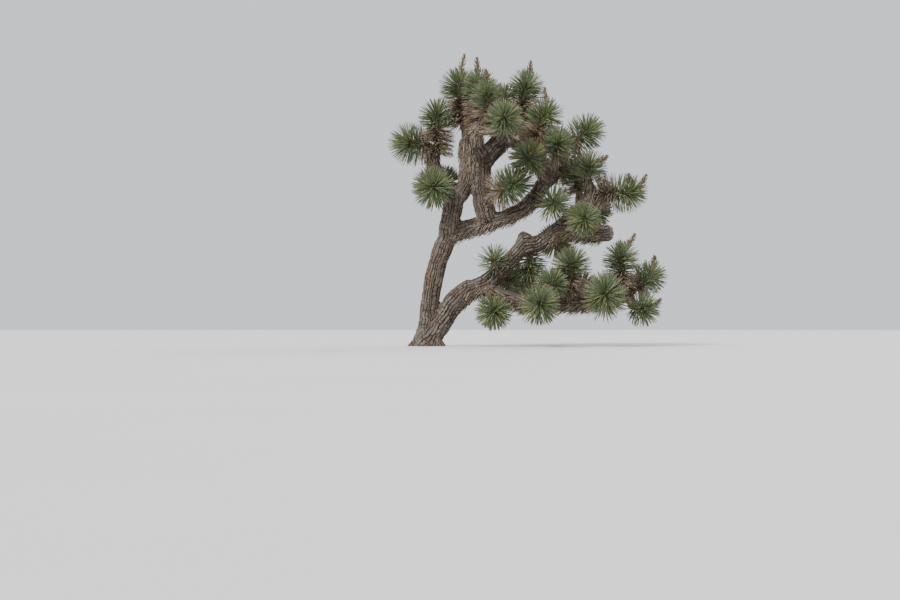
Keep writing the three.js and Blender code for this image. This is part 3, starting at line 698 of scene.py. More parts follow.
def wander(points):
    """How far, in metres, the pattern of the bark strays at each point."""
    strays = np.zeros((len(points), 3))
    for size, reach in WARPS:
        for number, shift in enumerate(WARP_SHIFTS):
            spots = (points / size + shift).tolist()
            strays[:, number] += reach * np.array([noise.noise(Vector(spot)) for spot in spots])
    return strays


def plate_pattern(points, near, settings):
    """How deep in a crack each point is, its plate's tone, where it is on its plate, and its place on it."""
    away = points - near.places
    along = near.along + dots(away, near.ways)
    out = np.column_stack((dots(away, near.sides), dots(away, np.cross(near.ways, near.sides))))
    girth = math.tau * np.linalg.norm(out, axis=1)
    stray = wander(points)
    variety = stray[:, 2] / WARPS[0][1]
    split = SPLIT_GIRTH * (1 + SPLIT_VARIETY * variety)
    columns = near.columns * np.where(girth > split * math.tau * near.radii, 2, 1)
    turn = np.arctan2(out[:, 1], out[:, 0]) / math.tau + stray[:, 0] / girth
    gap, column = nearest_mark(turn * columns, columns, 0, near.lines)
    column = np.mod(column, columns)
    run = (along + stray[:, 1]) / settings.plate_length + ROW_SHIFT * chance(column, near.lines)
    end_gap, plate = nearest_mark(run, ENDLESS, WHOLE_SHARE, column, near.lines)
    width = settings.crack_width * (1 + variety)
    furrow = 1 - smooth(gap * girth / columns / width)
    cross = CROSS_CRACK * (1 - smooth(end_gap * settings.plate_length / width))
    tone = chance(column, plate + TONE_DRAW, near.lines)
    rise = np.clip(2 * (run - plate) - 1, -1, 1)
    place = np.column_stack((unit(out) * near.radii[:, None], along + near.lines))
    return np.maximum(furrow, cross), tone, rise, place


def bare_wood(points, near):
    """How bare each point's wood is, at the end of the broken limb."""
    broken = [limb.name for limb in LIMBS].index(BROKEN_LIMB)
    past = dots(points - near.places, near.ways)
    at_end = (near.lines == broken) & (near.along > LINES[BROKEN_LIMB].length - SAMPLE_STEP / 2)
    return np.where(at_end, smooth(past / BARE_EDGE), 0)


def splinters(points, ways, bare):
    """How far the bare wood is broken away at each point, fibre by fibre."""
    across = points - ways * dots(points, ways)[:, None]
    depths = np.zeros(len(points))
    for number in np.flatnonzero(bare):
        spot = Vector(across[number]) / SPLINTER_SIZE
        depths[number] = SPLINTER_STEPS * abs(noise.cell(spot)) + SPLINTER_WAVES * abs(noise.noise(spot / 2))
    return depths * bare * SPLINTER_DEPTH


def add_relief(skin, settings):
    """Moves the skin's points into cracks and plates, keeps what each is for the bark's finish, and gives
    back the number of each one's limb."""
    count = len(skin.vertices)
    points, normals = np.empty(count * 3), np.empty(count * 3, np.float32)
    skin.vertices.foreach_get("co", points)
    skin.vertex_normals.foreach_get("vector", normals)
    points, normals = points.reshape(-1, 3), normals.reshape(-1, 3)
    samples = limb_samples(settings)
    near = chosen(samples, nearest_samples(points, samples))
    crack, tone, rise, place = plate_pattern(points, near, settings)
    bare = bare_wood(points, near)
    spots = place * (1, 1, 1 / GRAIN_STRETCH) / GRAIN_SIZE
    grain = np.array([noise.fractal(Vector(spot), *GRAIN_LAYERS) for spot in spots.tolist()])
    plate = PLATE_LIFT * (tone - 0.5) + PLATE_TILT * rise
    depth = settings.crack_depth * np.clip(near.radii / FULL_DEPTH_RADIUS, LEAST_DEPTH, 1)
    lift = plate * (1 - crack) + GRAIN_DEPTH * grain - depth * crack
    moves = normals * (lift * (1 - bare))[:, None] - near.ways * splinters(points, near.ways, bare)[:, None]
    skin.vertices.foreach_set("co", (points + moves).ravel())
    # The crack share is kept so that the finish can paint shade into the cracks with it.
    for name, values in (("crack", crack * (1 - bare)), ("plate_tone", tone), ("bare_wood", bare)):
        skin.attributes.new(name, "FLOAT", "POINT").data.foreach_set("value", values.astype(np.float32))
    spots = skin.attributes.new("bark_place", "FLOAT_VECTOR", "POINT")
    spots.data.foreach_set("vector", place.astype(np.float32).ravel())
    return near.limbs


def bark_piece(name, skin, owners, limbs, finish):
    """Makes a piece of some limbs' part of the skin, closed where it is cut and flat at the ground."""
    bm = bmesh.new()
    bm.from_mesh(skin)
    bm.verts.ensure_lookup_table()
    wanted = np.isin(owners, [number for number, limb in enumerate(LIMBS) if limb.name in limbs])
    others = [face for face in bm.faces if not wanted[face.verts[0].index]]
    bmesh.ops.delete(bm, geom=others, context="FACES")
    bmesh.ops.bisect_plane(bm, geom=bm.verts[:] + bm.edges[:] + bm.faces[:], plane_co=(0, 0, 0),
                           plane_no=(0, 0, -1), clear_outer=True)
    bmesh.ops.holes_fill(bm, edges=[edge for edge in bm.edges if edge.is_boundary], sides=0)
    for face in bm.faces:
        face.smooth = True
    mesh = bpy.data.meshes.new(name)
    bm.to_mesh(mesh)
    bm.free()
    keep(new_object(name, mesh, finish), limbs)


class JOSHUA_OT_grow_bark(bpy.types.Operator):
    """Grow the trunk and the boughs as one skin with plates of bark on it"""
    bl_idname = "joshua.grow_bark"
    bl_label = "Grow Bark"

    def execute(self, context):
        settings = context.scene.joshua_bark
        bm = bmesh.new()
        for limb in LIMBS:
            add_limb(bm, limb)
        add_stump(bm)
        for head in HEADS:
            add_stem_root(bm, head)
        skin = skin_of(bm, settings.skin_step, settings.rounding)
        owners = add_relief(skin, settings)
        finish = bark_finish(settings)
        for name, section in BARK_PIECES.items():
            limbs = [limb.name for limb in LIMBS if section_of(limb.name) == section]
            bark_piece(name, skin, owners, limbs, finish)
        bpy.data.meshes.remove(skin)
        return {"FINISHED"}


# The leaves.
class LeafSettings(bpy.types.PropertyGroup):
    width: FloatProperty(name="Leaf width", description="Width of a leaf at its root", default=0.026,
                         min=0.005, unit="LENGTH")
    spacing: FloatProperty(name="Leaf spacing", description="Rise of the stem from one leaf to the next",
                           default=0.0013, min=0.0003, unit="LENGTH")
    thatch_density: FloatProperty(name="Thatch density",
                                  description="Hanging dead leaves on a square metre of limb or stem",
                                  default=1000, min=0)
    green_depth: FloatProperty(name="Green depth", description="How far down the stem the leaves are alive",
                               default=0.18, min=0, unit="LENGTH")
    stem_radius: FloatProperty(name="Stem radius", description="Radius of a stem under its leaves",
                               default=0.05, min=0.01, unit="LENGTH")
    green: FloatVectorProperty(name="Green", description="Colour of most living leaves", subtype="COLOR",
                               default=(0.15, 0.19, 0.08), min=0, max=1)
    blue_green: FloatVectorProperty(name="Blue green", description="Colour of young leaves",
                                    subtype="COLOR", default=(0.15, 0.205, 0.125), min=0, max=1)
    yellow_green: FloatVectorProperty(name="Yellow green", description="Colour of ageing leaves",
                                      subtype="COLOR", default=(0.29, 0.28, 0.115), min=0, max=1)
    straw: FloatVectorProperty(name="Straw", description="Colour of newly dead leaves", subtype="COLOR",
                               default=(0.42, 0.335, 0.205), min=0, max=1)
    brown: FloatVectorProperty(name="Brown", description="Colour of dead leaves", subtype="COLOR",
                               default=(0.235, 0.175, 0.115), min=0, max=1)
    grey: FloatVectorProperty(name="Grey", description="Colour of old dead leaves", subtype="COLOR",
                              default=(0.29, 0.26, 0.215), min=0, max=1)
    spine: FloatVectorProperty(name="Spine", description="Colour of a leaf's hard tip", subtype="COLOR",
                               default=(0.1, 0.05, 0.03), min=0, max=1)


# A leaf's outline: how far along it, and how wide there as a share of its width.
LIVING_OUTLINE = ((0, 0.95), (0.12, 0.62), (0.6, 0.7), (0.87, 0.48), (1, 0.05))
DRY_OUTLINE = ((0, 0.95), (0.3, 0.62), (0.85, 0.42), (1, 0.04))
LEAF_CORNERS = 3
LEAF_FLATNESS = 0.45
SPINE_STARTS = 0.92               # how far along the leaf its hard tip begins
DRY_SPACING = 0.6                 # how much closer than living leaves the dead ones stand
SPARSE_SPACING = 1.8              # how much further apart the leaves of a sparse head stand
SPARSE_HEADS = ("low_shoot_head", "nook_head")
LEAF_CLEARANCE = 0.002
TINY = 1e-12                      # keeps a division by nothing out
CORE_ROOM = 0.35                  # what the middle of another head takes up, as a share of its reach
ROOT_DEPTH = 0.03                 # how far out of the stem's middle a leaf begins
LEAN_UP = math.radians(7)         # how far living leaves lift towards the tip of the stem
LEAN_DOWN = math.radians(15)      # how far the oldest dead leaves hang back
FIRST_LEAN = 0.25                 # how much of that the newly dead ones hang back
AGEING = 0.3                      # the length of stem over which they come to hang back in full
AGE_SCATTER = 0.02
SCATTER = 0.08
FACE_SCATTER = 0.02
ROLL = math.radians(28)
LEAF_WIDTHS = (0.8, 1.1)
LIVING_CURVES = (0.0, 0.05)
DRY_CURVES = (0.02, 0.16)
THATCH_LIFT = math.radians(14)
THATCH_LIFTS = (0.4, 1.7)
THATCH_DROOPS = (0.3, 1.5)
THATCH_LENGTH = (0.1, 0.17)
THATCH_WIDTHS = (0.7, 1.05)
THATCH_CURVES = (0, 0.12)
THATCH_SINK = 0.012               # how far under the bark dead leaves begin

# How often each of a leaf's three tones comes: green, blue green and yellow green, or straw, brown and grey.
LEAF_TONES = 3
LIVING_TONES = (0.5, 0.35, 0.15)
DRY_TONES = (0.35, 0.3, 0.35)
THATCH_TONES = (0.15, 0.4, 0.45)

COLLAR_SHARE = 0.82               # where the dead leaves begin on a limb that ends in heads
COLLAR_DROOP = 0.2
ALL_ROUND = -1.0                  # how far down a leaf has to point out of its limb to be kept
UNDERSIDE = 0.1

# Where the limbs keep their dead leaves: from which share of their length to which, on which side, and how
# strongly the leaves hang straight down.
Thatch = namedtuple("Thatch", "limb first last side droop")
SHAGGY_LIMBS = [
    Thatch("left_inner_bough", 0.45, COLLAR_SHARE, ALL_ROUND, 0.2),
    Thatch("right_bough", 0.02, 0.4, UNDERSIDE, 0.5),
    Thatch("right_bough", 0.4, 0.8, UNDERSIDE, 0.9),
    Thatch("right_bough", 0.8, 1, UNDERSIDE, 0.4),
    Thatch("right_bough_rise", 0, 0.7, UNDERSIDE, 0.3),
    Thatch("middle_right_bough", 0.45, 1, ALL_ROUND, 0.2),
    Thatch("low_stem", 0.82, 1, UNDERSIDE, 0.6),
    Thatch("low_bough", 0, 0.22, UNDERSIDE, 0.8),
    Thatch("arching_bough", 0.5, 1, UNDERSIDE, 0.4),
    Thatch("broken_stub", 0, 0.9, UNDERSIDE, 0.6),
    Thatch("crest_bough", 0.3, 1, ALL_ROUND, 0.2),
    Thatch("ground_bough", 0.3, 1, UNDERSIDE, 0.5),
    Thatch("ground_bough_middle", 0, 1, UNDERSIDE, 0.5),
    Thatch("ground_bough_end", 0, COLLAR_SHARE, UNDERSIDE, 0.5),
]

# Leaves by their roots, the ways that they point and that their upper sides face, and their sizes, bends and
# tones.
Leaves = namedtuple("Leaves", "roots ways faces lengths widths curves tones")


def leaf_shape(outline):
    """A dagger of length and width 1 along Y, flat above and keeled below: its points, faces and finishes."""
    bm = bmesh.new()
    along, widths = zip(*outline)
    places = [(0, share, 0) for share in along]
    count = len(places)
    side_share = 2 * math.sin(math.pi / LEAF_CORNERS)
    grow_tube(bm, places, [np.array((0, 1, 0))] * count, [np.array((1, 0, 0))] * count,
              [width / side_share for width in widths], LEAF_CORNERS)
    bmesh.ops.scale(bm, vec=(1, 1, LEAF_FLATNESS), verts=bm.verts)
    bmesh.ops.recalc_face_normals(bm, faces=bm.faces)
    bm.verts.index_update()
    points = np.array([point.co[:] for point in bm.verts])
    faces = [[point.index for point in face.verts] for face in bm.faces]
    finishes = [LEAF_TONES if face.calc_center_median().y > SPINE_STARTS else 0 for face in bm.faces]
    bm.free()
    return points, faces, finishes


def joined_leaves(name, shape, leaves, finishes):
    """One piece of many copies of a leaf, each turned, bent and toned for its own place."""
    points, faces, face_finishes = shape
    count, size = len(leaves.roots), len(points)
    across = np.cross(leaves.ways, leaves.faces)
    lengths, widths = leaves.lengths[:, None, None], leaves.widths[:, None, None]
    x, y, z = (points[None, :, k, None] for k in range(3))
    lift = widths * z + leaves.curves[:, None, None] * lengths * y * y
    spots = (leaves.roots[:, None, :] + leaves.ways[:, None, :] * lengths * y
             + across[:, None, :] * widths * x + leaves.faces[:, None, :] * lift)
    corners = np.array([corner for face in faces for corner in face])
    totals = np.array([len(face) for face in faces])
    all_corners = (corners[None, :] + np.arange(count)[:, None] * size).ravel()
    all_totals = np.tile(totals, count)
    own = np.array(face_finishes)
    all_finishes = np.where(own[None, :] == 0, leaves.tones[:, None], own[None, :]).ravel()
    mesh = bpy.data.meshes.new(name)
    mesh.vertices.add(count * size)
    mesh.vertices.foreach_set("co", spots.ravel())
    mesh.loops.add(len(all_corners))
    mesh.loops.foreach_set("vertex_index", all_corners)
    mesh.polygons.add(len(all_totals))
    mesh.polygons.foreach_set("loop_start", np.concatenate(([0], np.cumsum(all_totals)[:-1])))
    mesh.polygons.foreach_set("loop_total", all_totals)
    mesh.update(calc_edges=True)
    piece = new_object(name, mesh, *finishes)
    mesh.polygons.foreach_set("material_index", all_finishes)
    mesh.validate()
    return piece


def rooms(settings):
    """Straight round pieces that limbs, stems and heads take up: owner, start, end and radius."""
    rows = []
    for limb in LIMBS:
        shares = np.linspace(0, 1, LIMB_STRETCHES + 1)
        places, radii = LINES[limb.name].spread(shares)[0], limb_radius(limb, shares)
        rows += [(limb.name, *places[k:k + 2], max(radii[k:k + 2])) for k in range(LIMB_STRETCHES)]
    for head in HEADS:
        places = LINES[head.name].spread(np.linspace(0, 1, STEM_STRETCHES + 1))[0]
        rows += [(head.name, *places[k:k + 2], settings.stem_radius) for k in range(STEM_STRETCHES)]
        rows.append((head.name, places[-1], np.array(head.middle), head.reach * CORE_ROOM))
    return rows


def segment_gaps(a, b, c, d):
    """How near each of many straight pieces a to b comes to each of many others c to d."""
    u, v = (b - a)[:, None, :], (d - c)[None, :, :]
    w = a[:, None, :] - c[None, :, :]
    uu, vv, uv = (u * u).sum(-1), (v * v).sum(-1), (u * v).sum(-1)
    uw, vw = (u * w).sum(-1), (v * w).sum(-1)
    s = np.clip((uv * vw - vv * uw) / np.maximum(uu * vv - uv * uv, TINY), 0, 1)
    t = np.clip((uv * s + vw) / vv, 0, 1)
    s = np.clip((uv * t - uw) / uu, 0, 1)
    return np.linalg.norm(w + u * s[..., None] - v * t[..., None], axis=-1)


def free_of(leaves, owners, taken):
    """Which leaves stay off the ground and off every limb and head but their owners."""
    others = [row for row in taken if row[0] not in owners]
    starts, ends = np.array([row[1] for row in others]), np.array([row[2] for row in others])
    apart = np.array([row[3] for row in others]) + LEAF_CLEARANCE
    tips = leaves.roots + leaves.ways * leaves.lengths[:, None]
    return (segment_gaps(leaves.roots, tips, starts, ends) > apart).all(axis=1) & (tips[:, 2] > LOWEST_LEAF)


def turned(faces, ways, angles):
    return faces * np.cos(angles)[:, None] + np.cross(ways, faces) * np.sin(angles)[:, None]


def rosette(head, spacing, living, settings, dice, taken):
    """The living or the dead leaves of a head by the spiral rule."""
    middle, aim = np.array(head.middle), unit(head.aim)
    radius = head.reach * CORE_SHARE
    low = -max(head.leafy, radius)
    count = round((radius - low) / spacing)
    number = np.arange(count)
    share = (2 * number + 1) / count - 1
    out = radius * np.sqrt(1 - np.abs(share) ** CORE_FULLNESS)
    along = mixed(low, radius, (share + 1) / 2)
    side = np.array(Vector(aim).orthogonal().normalized())
    turn = number * GOLDEN_ANGLE
    outward = side * np.cos(turn)[:, None] + np.cross(aim, side) * np.sin(turn)[:, None]
    feet = np.clip(along, -head.leafy, 0)
    ways = unit(outward * out[:, None] + aim * (along - feet)[:, None])
    tilt = np.arccos(np.clip(ways @ aim, -1, 1))
    age = np.minimum(along, 0) + dice.normal(0, AGE_SCATTER, count)
    alive = age > -settings.green_depth
    oldness = np.clip((-age - settings.green_depth) / AGEING, 0, 1)
    lean = np.where(alive, LEAN_UP, -LEAN_DOWN * mixed(FIRST_LEAN, 1, oldness)) * np.sin(tilt)
    ways = unit(ways * np.cos(lean)[:, None] + aim * np.sin(lean)[:, None]
                + dice.normal(0, SCATTER, (count, 3)))
    faces = unit(aim - ways * (ways @ aim)[:, None] + dice.normal(0, FACE_SCATTER, (count, 3)))
    faces = unit(faces - ways * (faces * ways).sum(1)[:, None])
    faces = turned(faces, ways, dice.normal(0, ROLL, count))
    roots = middle + aim * feet[:, None] + ways * ROOT_DEPTH
    lengths = head.reach * (1 - (1 - SHORTEST_LEAF) * dice.uniform(0, 1, count) ** 2) - ROOT_DEPTH
    widths = settings.width * dice.uniform(*LEAF_WIDTHS, count)
    curves = np.where(alive, dice.uniform(*LIVING_CURVES, count), -dice.uniform(*DRY_CURVES, count))
    living_tones = dice.choice(LEAF_TONES, count, p=LIVING_TONES)
    dry_tones = dice.choice(LEAF_TONES, count, p=DRY_TONES)
    leaves = Leaves(roots, ways, faces, lengths, widths, curves, np.where(alive, living_tones, dry_tones))
    leaves = chosen(leaves, (alive == living) & (tilt < BARE_TILT))
    return chosen(leaves, free_of(leaves, (head.name,), taken))


def thatch(line, radii, span, side, droop, settings, dice):
    """Dead leaves that hang back along a limb or a stem and cover it, or one side of it."""
    first, last = span
    girth = math.tau * radii(np.array([(first + last) / 2]))[0]
    count = round(line.length * (last - first) * girth * settings.thatch_density)
    shares = np.linspace(first, last, count)
    places, forward, sides = line.spread(shares)
    turn = np.arange(count) * GOLDEN_ANGLE
    outward = sides * np.cos(turn)[:, None] + np.cross(forward, sides) * np.sin(turn)[:, None]
    lift = THATCH_LIFT * dice.uniform(*THATCH_LIFTS, count)
    ways = unit(outward * np.sin(lift)[:, None] - forward * np.cos(lift)[:, None]
                + DOWN * droop * dice.uniform(*THATCH_DROOPS, count)[:, None]
                + dice.normal(0, SCATTER, (count, 3)))
    faces = unit(outward - ways * (outward * ways).sum(1)[:, None])
    faces = turned(faces, ways, dice.normal(0, ROLL, count))
    roots = places + outward * (radii(shares)[:, None] - THATCH_SINK)
    leaves = Leaves(roots, ways, faces, dice.uniform(*THATCH_LENGTH, count),
                    settings.width * dice.uniform(*THATCH_WIDTHS, count),
                    -dice.uniform(*THATCH_CURVES, count), dice.choice(LEAF_TONES, count, p=THATCH_TONES))
    tips = roots + ways * leaves.lengths[:, None]
    return chosen(leaves, (outward @ DOWN > side) & (tips[:, 2] > LOWEST_LEAF))


def collars():
    """The thatch at the ends of the limbs that heads grow from."""
    ends = {head.parent for head in HEADS if head.at == 1}
    return [Thatch(limb.name, COLLAR_SHARE, 1, ALL_ROUND, COLLAR_DROOP)
            for limb in LIMBS if limb.name in ends]


def section_thatch(section, settings):
    """The dead leaves on the limbs of one part of the tree."""
    limbs, found = {limb.name: limb for limb in LIMBS}, []
    for number, shaggy in enumerate(SHAGGY_LIMBS + collars()):
        if section_of(shaggy.limb) == section:
            limb = limbs[shaggy.limb]
            found.append(thatch(LINES[limb.name], lambda shares: limb_radius(limb, shares),
                                (shaggy.first, shaggy.last), shaggy.side, shaggy.droop, settings,
                                np.random.default_rng(len(HEADS) + number)))
    return found


class JOSHUA_OT_grow_leaves(bpy.types.Operator):
    """Grow the heads of living and dead leaves, and the dead leaves on the stems and limbs under them"""
    bl_idname = "joshua.grow_leaves"
    bl_label = "Grow Leaves"

    def execute(self, context):
        settings = context.scene.joshua_leaves
        spine = leaf_finish("spine_tip", settings.spine, roughness=0.5, specular=0.4)
        living_finishes = [
            leaf_finish("green_leaf", settings.green, roughness=0.5, specular=0.4),
            leaf_finish("blue_green_leaf", settings.blue_green, roughness=0.5, specular=0.4),
            leaf_finish("yellow_green_leaf", settings.yellow_green, roughness=0.55, specular=0.35),
            spine,
        ]
        dry_finishes = [
            leaf_finish("straw_leaf", settings.straw, roughness=0.75, specular=0.25),
            leaf_finish("brown_leaf", settings.brown, roughness=0.85, specular=0.2),
            leaf_finish("grey_leaf", settings.grey, roughness=0.9, specular=0.2),
            spine,
        ]
        living_shape, dry_shape = leaf_shape(LIVING_OUTLINE), leaf_shape(DRY_OUTLINE)
        taken = rooms(settings)
        for section in SECTIONS:
            heads = [head for head in HEADS if section_of(head.parent) == section]
            living, dry = [], section_thatch(section, settings)
            for head in heads:
                dice = np.random.default_rng(HEADS.index(head))
                spacing = settings.spacing * (SPARSE_SPACING if head.name in SPARSE_HEADS else 1)
                living.append(rosette(head, spacing, True, settings, dice, taken))
                dry.append(rosette(head, spacing * DRY_SPACING, False, settings, dice, taken))
                skirt = thatch(LINES[head.name], stem_radii(head), (0, 1), ALL_ROUND, 0, settings, dice)
                dry.append(chosen(skirt, free_of(skirt, (head.name, head.parent), taken)))
            piece = joined_leaves(f"{section}_living_leaves", living_shape, gathered(living), living_finishes)
            keep(piece, [head.name for head in heads])
            piece = joined_leaves(f"{section}_dead_leaves", dry_shape, gathered(dry), dry_finishes)
            keep(piece)
        return {"FINISHED"}


STEM_RINGS = 9
STEM_TOP = ((0, 0.8), (0.06, 0.3))    # how far past the middle of its head a stem goes on, and how thick


class JOSHUA_OT_grow_stems(bpy.types.Operator):
    """Grow the stems that carry the heads of leaves"""
    bl_idname = "joshua.grow_stems"
    bl_label = "Grow Stems"

    def execute(self, context):
        settings = context.scene.joshua_leaves
        bm = bmesh.new()
        for head in HEADS:
            places, ways, sides = map(list, LINES[head.name].spread(np.linspace(0, 1, STEM_RINGS)))
            radii = [settings.stem_radius] * STEM_RINGS
            for past, width in STEM_TOP:
                places.append(np.array(head.middle) + unit(head.aim) * past)
                ways.append(unit(head.aim))
                sides.append(sides[-1])
                radii.append(settings.stem_radius * width)
            grow_tube(bm, places, ways, sides, radii, STEM_CORNERS)
        finish = leaf_finish("stem", settings.brown, roughness=0.9, specular=0.2)
        piece = object_of(bm, "head_stems", finish)
        piece.data.shade_smooth()
        keep(piece)
        return {"FINISHED"}


# The flower spires.
class SpireSettings(bpy.types.PropertyGroup):
    radius: FloatProperty(name="Stalk radius", description="Radius of a flower stalk at its foot",
                          default=0.024, min=0.003, unit="LENGTH")
    branches: IntProperty(name="Branches", description="Side branches of a flower stalk", default=30, min=0)
    branch_length: FloatProperty(name="Branch length",
                                 description="Length a side branch would have at the foot of the stalk",
                                 default=0.165, min=0.01, unit="LENGTH")
    pod_length: FloatProperty(name="Pod length", description="Length of a dry seed pod", default=0.036,
                              min=0.005, unit="LENGTH")
    stalk_colour: FloatVectorProperty(name="Stalk colour", description="Colour of the dry stalks",
                                      subtype="COLOR", default=(0.2, 0.15, 0.1), min=0, max=1)
    pod_colour: FloatVectorProperty(name="Pod colour", description="Colour of the dry pods",
                                    subtype="COLOR", default=(0.13, 0.095, 0.064), min=0, max=1)


STALK_RINGS = 8
STALK_CORNERS = 6
STALK_TAPER = 0.65                # how much of its thickness a stalk loses up to its tip
SPIRE_RISE = 1.0                  # how strongly a stalk that leaves its head sideways turns up
BRANCH_SPAN = (0.35, 0.97)        # the shares of the stalk's length between which it branches
BRANCH_TILT = math.radians(34)
BRANCH_TILTS = (0.8, 1.2)
BRANCH_LENGTHS = (0.8, 1.1)
BRANCH_LOSS = 0.6                 # how fast the side branches get shorter towards the tip of the stalk
BRANCH_RADII = (0.011, 0.004)
BRANCH_CORNERS = 4
POD_PLACES = (0.8, 0.5)           # where pods sit along a side branch
POD_RISE = 0.4                    # how far pods turn up along the stalk
POD_SLIMNESS = 0.4


class JOSHUA_OT_grow_spires(bpy.types.Operator):
    """Grow the dried flower spires with their side branches and seed pods"""
    bl_idname = "joshua.grow_spires"
    bl_label = "Grow Flower Spires"

    def execute(self, context):
        settings = context.scene.joshua_spires
        dice = np.random.default_rng(len(HEADS))
        stalks, pods = bmesh.new(), bmesh.new()
        for head in HEADS:
            for tip in head.spires:
                heading = unit(np.subtract(tip, head.middle)) + np.array((0, 0, SPIRE_RISE))
                self.grow_spire(stalks, pods, Line(head.middle, tip, head.aim, heading), settings, dice)
        stalk_finish = leaf_finish("flower_stalk", settings.stalk_colour, roughness=0.8, specular=0.2)
        keep(object_of(stalks, "flower_stalks", stalk_finish))
        pod_finish = leaf_finish("seed_pod", settings.pod_colour, roughness=0.75, specular=0.25)
        piece = object_of(pods, "seed_pods", pod_finish)
        piece.data.shade_smooth()
        keep(piece)
        return {"FINISHED"}

    def grow_spire(self, stalks, pods, line, settings, dice):
        shares = np.linspace(0, 1, STALK_RINGS)
        grow_tube(stalks, *line.spread(shares), settings.radius * (1 - STALK_TAPER * shares), STALK_CORNERS)
        shares = np.linspace(*BRANCH_SPAN, settings.branches)
        for number, (share, place, up, side) in enumerate(zip(shares, *line.spread(shares))):
            turn = number * GOLDEN_ANGLE
            out = side * math.cos(turn) + np.cross(up, side) * math.sin(turn)
            tilt = BRANCH_TILT * dice.uniform(*BRANCH_TILTS)
            way = up * math.cos(tilt) + out * math.sin(tilt)
            length = settings.branch_length * (1 - share) ** BRANCH_LOSS * dice.uniform(*BRANCH_LENGTHS)
            end = place + way * length
            cross = np.array(Vector(way).orthogonal().normalized())
            grow_tube(stalks, [place, end], [way] * 2, [cross] * 2, BRANCH_RADII, BRANCH_CORNERS)
            for pod_share in POD_PLACES:
                self.grow_pod(pods, mixed(place, end, pod_share), unit(way + up * POD_RISE),
                              settings.pod_length)

    def grow_pod(self, pods, middle, way, length):
        side = np.array(Vector(way).orthogonal().normalized())
        matrix = ring_matrix(middle, way, side, length / 2)
        matrix @= Matrix.Diagonal((POD_SLIMNESS, POD_SLIMNESS, 1, 1))
        bmesh.ops.create_icosphere(pods, subdivisions=1, radius=1, matrix=matrix)


# The stage.
class StageSettings(bpy.types.PropertyGroup):
    camera_place: FloatVectorProperty(name="Camera place", description="Where the camera stands",
                                      subtype="TRANSLATION", unit="LENGTH", default=(0.3235, -18.38, 0.25))
    camera_pitch: FloatProperty(name="Camera pitch", description="How far the camera looks up",
                                subtype="ANGLE", default=math.radians(1.33))
    lens: FloatProperty(name="Lens", description="Focal length in millimetres", default=50, min=10)
    floor_radius: FloatProperty(name="Floor radius", description="Radius of the floor", default=300,
                                min=5, unit="LENGTH")
    floor_colour: FloatVectorProperty(name="Floor colour", description="Colour of the floor",
                                      subtype="COLOR", default=(0.74, 0.73, 0.71), min=0, max=1)
    sky_colour: FloatVectorProperty(name="Sky colour", description="Colour of the soft light all round",
                                    subtype="COLOR", default=(0.86, 0.89, 0.93), min=0, max=1)
    sky_strength: FloatProperty(name="Sky strength", description="Strength of the light all round",
                                default=1.05, min=0)
    key_strength: FloatProperty(name="Key strength", description="Strength of the main light", default=3.6,
                                min=0)


# How each light is turned about X, Y and Z, and how wide it is in the sky, in degrees.
KEY_TURN = (48, 0, -38)
KEY_SOFTNESS = 14
RIM_TURN = (60, 0, 150)
RIM_SOFTNESS = 30
RIM_SHARE = 0.35                  # how strong the rim light is beside the key light
FLOOR_CORNERS = 96
FLOOR_DEPTH = 0.001               # how far under the trunk's flat cut the floor lies
FLOOR_SCALE = 0.6
FLOOR_PATCHES = (0.3, 0.7)
FLOOR_SHADE = 0.97
SENSOR_WIDTH = 36


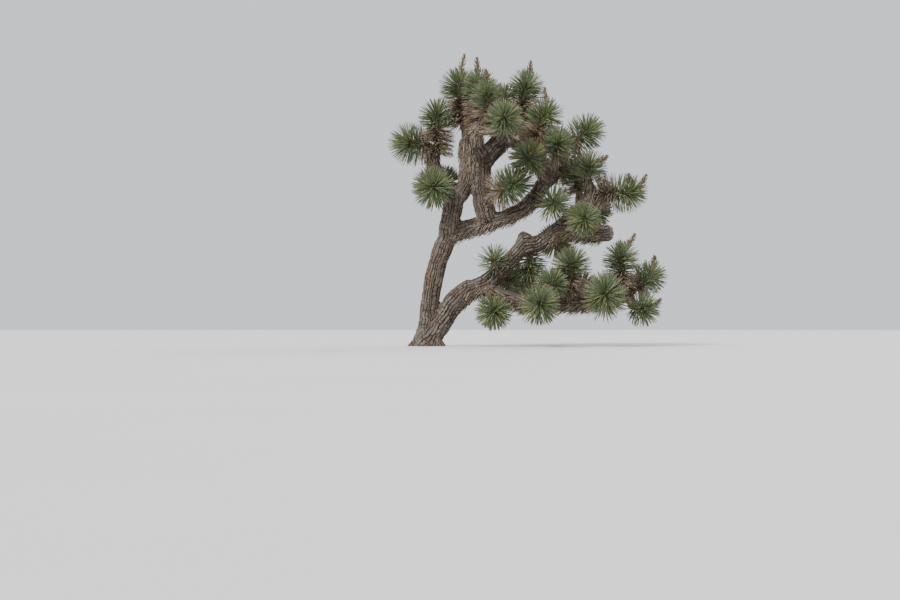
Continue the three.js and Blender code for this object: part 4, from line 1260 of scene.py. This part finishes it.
class JOSHUA_OT_set_stage(bpy.types.Operator):
    """Set the floor, the soft studio light and the camera"""
    bl_idname = "joshua.set_stage"
    bl_label = "Set Stage"

    def execute(self, context):
        settings = context.scene.joshua_stage
        self.add_floor(settings)
        self.add_sun("key_light", settings.key_strength, KEY_TURN, KEY_SOFTNESS)
        self.add_sun("rim_light", settings.key_strength * RIM_SHARE, RIM_TURN, RIM_SOFTNESS)
        self.add_sky(context.scene, settings)
        self.add_camera(context.scene, settings)
        return {"FINISHED"}

    def add_floor(self, settings):
        bm = bmesh.new()
        bmesh.ops.create_circle(bm, cap_ends=True, segments=FLOOR_CORNERS, radius=settings.floor_radius,
                                matrix=Matrix.Translation((0, 0, -FLOOR_DEPTH)))
        nodes = Nodes("pale_floor", roughness=0.9, specular=0.2)
        patches = nodes.ramp(nodes.noise(FLOOR_SCALE), *FLOOR_PATCHES)
        nodes.colour(nodes.mix(patches, shade(settings.floor_colour, FLOOR_SHADE), settings.floor_colour))
        object_of(bm, "floor", nodes.material)

    def add_sun(self, name, strength, turn, softness):
        sun = bpy.data.lights.new(name, "SUN")
        sun.energy = strength
        sun.angle = math.radians(softness)
        lamp = bpy.data.objects.new(name, sun)
        lamp.rotation_euler = [math.radians(angle) for angle in turn]
        bpy.context.scene.collection.objects.link(lamp)

    def add_sky(self, scene, settings):
        world = bpy.data.worlds.new("soft_sky")
        world.use_nodes = True
        background = world.node_tree.nodes["Background"]
        background.inputs["Color"].default_value = (*settings.sky_colour, 1)
        background.inputs["Strength"].default_value = settings.sky_strength
        scene.world = world

    def add_camera(self, scene, settings):
        lens = bpy.data.cameras.new("camera")
        lens.lens = settings.lens
        lens.sensor_width = SENSOR_WIDTH
        camera = bpy.data.objects.new("camera", lens)
        camera.location = settings.camera_place
        camera.rotation_euler = (math.pi / 2 + settings.camera_pitch, 0, 0)
        scene.collection.objects.link(camera)
        scene.camera = camera


class JOSHUA_PT_tree(bpy.types.Panel):
    """The tree's operators, sizes and colours"""
    bl_idname = "JOSHUA_PT_tree"
    bl_label = "Joshua Tree"
    bl_space_type = "VIEW_3D"
    bl_region_type = "UI"
    bl_category = "Joshua Tree"

    def draw(self, context):
        for operator in OPERATORS:
            self.layout.operator(operator.bl_idname)
        for name in SETTINGS:
            settings = getattr(context.scene, name)
            box = self.layout.box()
            for key in settings.__annotations__:
                box.prop(settings, key)


OPERATORS = (JOSHUA_OT_grow_bark, JOSHUA_OT_grow_stems, JOSHUA_OT_grow_leaves, JOSHUA_OT_grow_spires,
             JOSHUA_OT_set_stage)
SETTINGS = {"joshua_bark": BarkSettings, "joshua_leaves": LeafSettings, "joshua_spires": SpireSettings,
            "joshua_stage": StageSettings}


def register():
    for kind in (*SETTINGS.values(), *OPERATORS, JOSHUA_PT_tree):
        bpy.utils.register_class(kind)
    for name, kind in SETTINGS.items():
        setattr(bpy.types.Scene, name, PointerProperty(type=kind))


def unregister():
    for name in SETTINGS:
        delattr(bpy.types.Scene, name)
    for kind in reversed((*SETTINGS.values(), *OPERATORS, JOSHUA_PT_tree)):
        bpy.utils.unregister_class(kind)


def main():
    register()
    bpy.ops.joshua.grow_bark()
    bpy.ops.joshua.grow_stems()
    bpy.ops.joshua.grow_leaves()
    bpy.ops.joshua.grow_spires()
    bpy.ops.joshua.set_stage()


if __name__ == "__main__":
    main()
